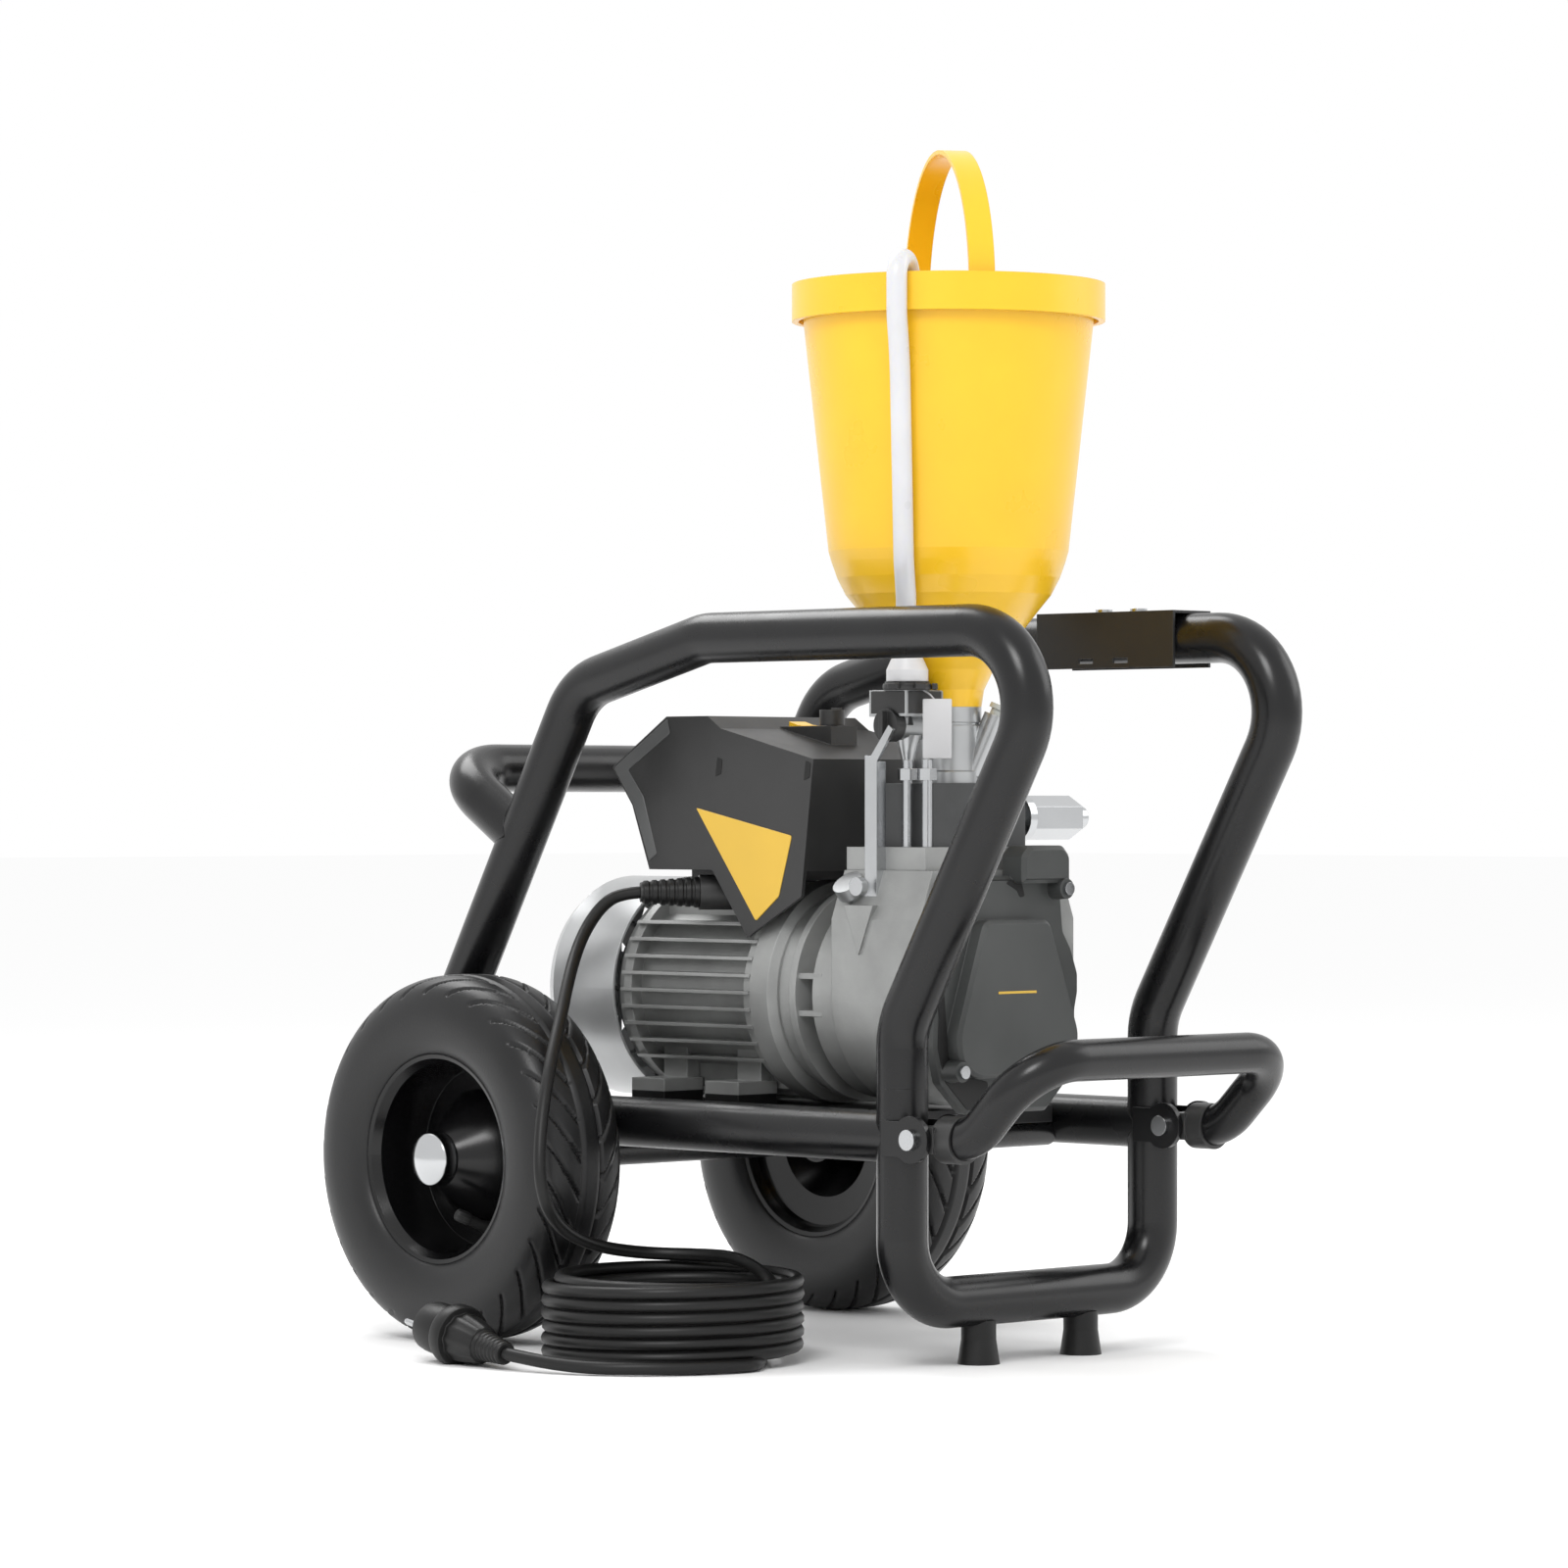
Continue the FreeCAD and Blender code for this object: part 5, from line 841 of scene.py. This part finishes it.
@dataclass
class WheelDetails:
    """Valve stem of a wheel, in millimetres.

    Attributes:
        reach: Distance of the stem's foot from the axle.
    """

    reach: float = 60.0

    def build(self, shop: Workshop, side: str, body: Body) -> None:
        """Sets a rubber valve with its cap in the rim's dish.

        Args:
            shop: Maker of pieces.
            side: left or right.
            body: Wheel body.
        """
        low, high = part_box("tyre_" + side)
        centre = np.array((low + high) / 2) / MM
        out = -1.0 if side == "left" else 1.0
        foot = centre + np.array([out * 8, -0.55 * self.reach, -0.83 * self.reach])
        aim = (out * 0.85, 0.3, 0.42)
        stem = [(0, 0), (5.5, 0), (5, 5), (3.8, 9), (3.6, 20), (0, 20)]
        cap = [(0, 19), (4.4, 19.5), (4.4, 28), (3.4, 29.5), (0, 29.5)]
        shop.piece("valve_" + side, [turned(stem, tuple(foot), aim, 20), turned(cap, tuple(foot), aim, 20, 10, 0.04)],
                   "black_rubber", body)


@dataclass
class AxleCaps:
    """Domed chrome caps on the axle's ends, in millimetres.

    Attributes:
        radius: Radius of the skirt.
        length: Length of a cap.
    """

    radius: float = 19.3
    length: float = 17.0

    def build(self, shop: Workshop) -> None:
        """Turns a rolled skirt, a groove and a dome whose height falls with the square of the radius.

        Args:
            shop: Maker of pieces.
        """
        low, high = (np.array(corner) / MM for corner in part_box("axle_caps"))
        y, z, r = (low[1] + high[1]) / 2, (low[2] + high[2]) / 2, self.radius
        share = np.linspace(1, 0, 14)
        dome = list(zip((r * 0.93 * share).tolist(), (11 + 5.8 * (1 - share ** 2)).tolist()))
        profile = [(0, 0), (r, 0), (r, 1.6), (r * 0.965, 2.4), (r * 0.965, 9.4), (r * 0.95, 10.6)] + dome
        shells = [turned(profile, (low[0] + self.length, y, z), (-1, 0, 0), 64),
                  turned(profile, (high[0] - self.length, y, z), (1, 0, 0), 64)]
        caps = shop.piece("axle_cap_domes", shells, "chrome", Body.FRAME, angle=50)
        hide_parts("axle_caps")


@dataclass
class GlandRibs:
    """Ribbed strain relief over the gland's taper, in millimetres.

    Attributes:
        foot: Start of the gland's axis.
        aim: Direction of the axis.
        first: Distance along the axis where the ribs start.
        last: Distance along the axis where they end.
        pitch: Distance from rib to rib.
    """

    foot: Point = (-48.8, 64.2, 318.0)
    aim: Point = (-0.8, 0.6, 0.0)
    first: float = 22.5
    last: float = 63.5
    pitch: float = 6.0

    def build(self, shop: Workshop) -> None:
        """Turns a sleeve whose radius falls along the taper and steps at each rib.

        Args:
            shop: Maker of pieces.
        """
        steps = np.arange(self.first, self.last, 0.75)
        taper = 10.2 - 3.0 * (steps - self.first) / (self.last - self.first)
        rib = 0.9 * (np.mod(steps - self.first, self.pitch) < 3.4)
        profile = [(0.0, self.first)] + list(zip((taper + rib).tolist(), steps.tolist())) + [(0.0, self.last)]
        shop.piece("gland_ribs", [turned(profile, self.foot, self.aim, 32)], "black_rubber", Body.FRAME)


@dataclass
class ControllerTrim:
    """Blank badge, painted-shade slots and painted highlight bands on the motor controller, in millimetres.

    Attributes:
        face: X of the controller's side.
        kite: Y and Z of the badge's corners.
        band: Y and Z of the corners of a painted highlight band, standing in for the lit rear chamfer.
    """

    face: float = -74.0
    kite: tuple[Flat, ...] = ((72, 378), (-25, 358.5), (-12, 316), (11, 298.5))
    band: tuple[Flat, ...] = ((102, 441.5), (158, 406.5), (137.5, 380), (121, 340), (113, 345), (127, 386),
                              (143, 405), (99, 431))

    def build(self, shop: Workshop) -> None:
        """Sets the badge and the slots, drawn as painted shade, on the side that faces the coil, and a painted
        highlight band on both sides.

        Args:
            shop: Maker of pieces.
        """
        outline = rounded([(-y, z) for y, z in self.kite], 2.0)
        badge = slab(outline, (self.face + 0.2, 0, 0), (0, -1, 0), (0, 0, 1), 0.9, 0.3)
        shop.piece("badge", [badge], "badge_yellow", Body.FRAME)
        # Painted shade: thin near-black slabs where the side slots are, standing in for the shade inside them.
        dark = [slab(rounded([(-y - 2.4, z + 7), (-y - 4.4, z - 7), (-y + 1.6, z - 5), (-y + 2.8, z + 5)], 1.0),
                     (self.face + 0.3, 0, 0), (0, -1, 0), (0, 0, 1), 0.7, 0.2) for y, z in ((48, 407), (-41, 404))]
        shop.piece("controller_slot_painted_shade", dark, "painted_shade_black", Body.FRAME)
        # Painted highlight: a lighter grey band on both sides where the rear chamfer faces catch the light.
        edge = [slab(rounded([(-y * s, z) for y, z in self.band][::s], 1.5), (s * (self.face + 0.2), 0, 0), (0, -s, 0),
                     (0, 0, 1), 0.7, 0.4) for s in (1, -1)]
        shop.piece("controller_chamfer_highlight", edge, "chamfer_highlight_grey", Body.FRAME)


@dataclass
class FrontCover:
    """Moulded cover of the pump, in millimetres; every outline is X and Z.

    Attributes:
        skirt: Outline of the low plate.
        panel: Outline of the raised panel.
        ear: Outline of the ear at the top.
        towers: Middles of the screw towers.
        shade: Outline of the painted shade beside the panel, a dark slab at the skirt's lower left.
    """

    skirt: tuple[Flat, ...] = (
        (-40, 168), (40, 168), (64, 190), (71, 215), (70, 237), (73, 249), (73, 263), (66, 281), (58, 293),
        (54, 331), (-54, 331), (-58, 293), (-66, 281), (-73, 263), (-73, 249), (-70, 237), (-71, 215), (-64, 190))
    panel: tuple[Flat, ...] = ((-34, 301), (31, 301), (61, 222), (58, 204), (42, 193), (-42, 193), (-58, 204),
                               (-61, 222))
    ear: tuple[Flat, ...] = ((5, 326), (53, 326), (53, 345), (46, 352), (12, 352), (5, 345))
    towers: tuple[Flat, ...] = ((-47, 322), (47, 322), (-57, 198), (57, 198))
    shade: tuple[Flat, ...] = ((-70, 252), (-64, 262), (-60, 222), (-50, 196), (-20, 190), (-20, 172), (-40, 171),
                               (-62, 191), (-69, 214), (-68, 236))

    def build(self, shop: Workshop) -> None:
        """Stacks the cover's plates on the pump's open front and hides the plain CAD shell.

        Args:
            shop: Maker of pieces.
        """
        low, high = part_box("front_cover")
        face, back = low.y / MM, high.y / MM
        middle = back - 0.45 * (back - face)
        right, up = (1, 0, 0), (0, 0, 1)
        shells = [slab(rounded(list(self.skirt), 2.4), (0, back, 0), right, up, back - middle, 3.0),
                  slab(rounded(list(self.panel), 7.0), (0, middle + 1, 0), right, up, middle + 1 - face, 2.6),
                  slab(rounded(list(self.ear), 3.0), (0, back, 0), right, up, back - face - 1, 3.0)]
        shells += [turned([(0, 0), (8, 0), (7, middle - face + 1.5), (0, middle - face + 1.5)], (x, middle + 1.5, z),
                          (0, -1, 0), 28) for x, z in self.towers]
        cover = shop.piece("pump_cover", shells, "black_shield", Body.FRAME)
        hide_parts("front_cover")
        stripe = slab(rounded([(-22, 250.4), (16, 250.4), (16, 252.2), (-22, 252.2)], 0.4), (0, face + 0.1, 0),
                      right, up, 0.4, 0.1)
        shop.piece("cover_stripe", [stripe], "badge_yellow", Body.FRAME)
        # Painted shade: near-black slabs in the hook-shaped hole and beside the panel's lower left, where the cover
        # lies in shade.
        recess = [(-2, 326), (3, 329), (14, 326), (17, 317), (12, 316), (9, 321)]
        dark = [slab(rounded(recess, 1.8), (0, middle + 0.4, 0), right, up, 0.8, 0.3),
                slab(rounded(list(self.shade), 2.0), (0, middle + 0.4, 0), right, up, 0.8, 0.3)]
        shop.piece("cover_painted_shade", dark, "painted_shade_black", Body.FRAME)


@dataclass
class ValveTrim:
    """Blank tag with its wire, a clip on the connector and a sleeve on the valve top, beside the relief valve, in
    millimetres.
    """

    def build(self, shop: Workshop) -> None:
        """Hangs the tag with its wire below the return connector, rings the connector with a lugged clip, and sleeves
        the valve top.

        Args:
            shop: Maker of pieces.
        """
        right, up = (0.716, -0.698, 0), (0, 0, 1)
        outline = rounded([(-10, 412), (10, 412), (10, 453), (-10, 453)], 1.2)
        tag = slab(outline, (-41, -134, 0), right, up, 0.8, 0.2)
        wire = swept(np.array([(-41, -133, 451), (-42, -128, 456), (-44, -124, 459), (-46, -121, 461)], float),
                     np.array([(0.7, 0), (0, 0.7), (-0.7, 0), (0, -0.7)], float))
        shop.piece("valve_tag", [tag, wire], "tag_white", Body.FRAME)
        ring = [(13.6, 0), (16.6, 0), (17.0, 1), (17.0, 3), (16.6, 4), (13.6, 4)]
        band = turned(ring, (-50, -114, 459.5), (0, 0, 1), 40, closed=True)
        lugs = [slab(rounded([(-4, -2.2), (4, -2.2), (4, 2.2), (-4, 2.2)], 0.8),
                     (-50 + 17.5 * math.cos(a), -114 + 17.5 * math.sin(a), 461.6),
                     (-math.sin(a), math.cos(a), 0), (0, 0, 1), 3.4, 0.6) for a in (3.4, 4.4, 5.4)]
        shop.piece("connector_clip", [band, *lugs], "black_plastic", Body.FRAME)
        square = rounded([(-18.4, -18.4), (18.4, -18.4), (18.4, 18.4), (-18.4, 18.4)], 4.0)
        sleeve = slab(square, (-42, -105, 443), (1, 0, 0), (0, 1, 0), 16.4, 1.2)
        shop.piece("valve_top_sleeve", [sleeve], "black_plastic", Body.FRAME)


class Sprayer:
    """The whole sprayer: builds each sub-assembly in order."""

    def __init__(self) -> None:
        """Prepares the paintshop and the workshop."""
        self.paint = Paintshop({**FINISHES, **EXTRA})
        self.shop = Workshop(self.paint)

    def build(self) -> None:
        """Camera and cord first, then finishes, wheels and trim."""
        Studio().build()
        PowerCord().build(self.shop)
        self.paint.dress_frame(frame["nodes"])
        for side, body in (("left", Body.WHEEL_LEFT), ("right", Body.WHEEL_RIGHT)):
            Tyre().build(self.shop, side, body)
            WheelDetails().build(self.shop, side, body)
        AxleCaps().build(self.shop)
        GlandRibs().build(self.shop)
        ControllerTrim().build(self.shop)
        FrontCover().build(self.shop)
        ValveTrim().build(self.shop)


def main() -> None:
    """Builds the sprayer."""
    logging.basicConfig(level=logging.INFO, format="%(name)s %(message)s")
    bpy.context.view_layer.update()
    Sprayer().build()
    bpy.context.view_layer.update()


if __name__ == "__main__":
    main()
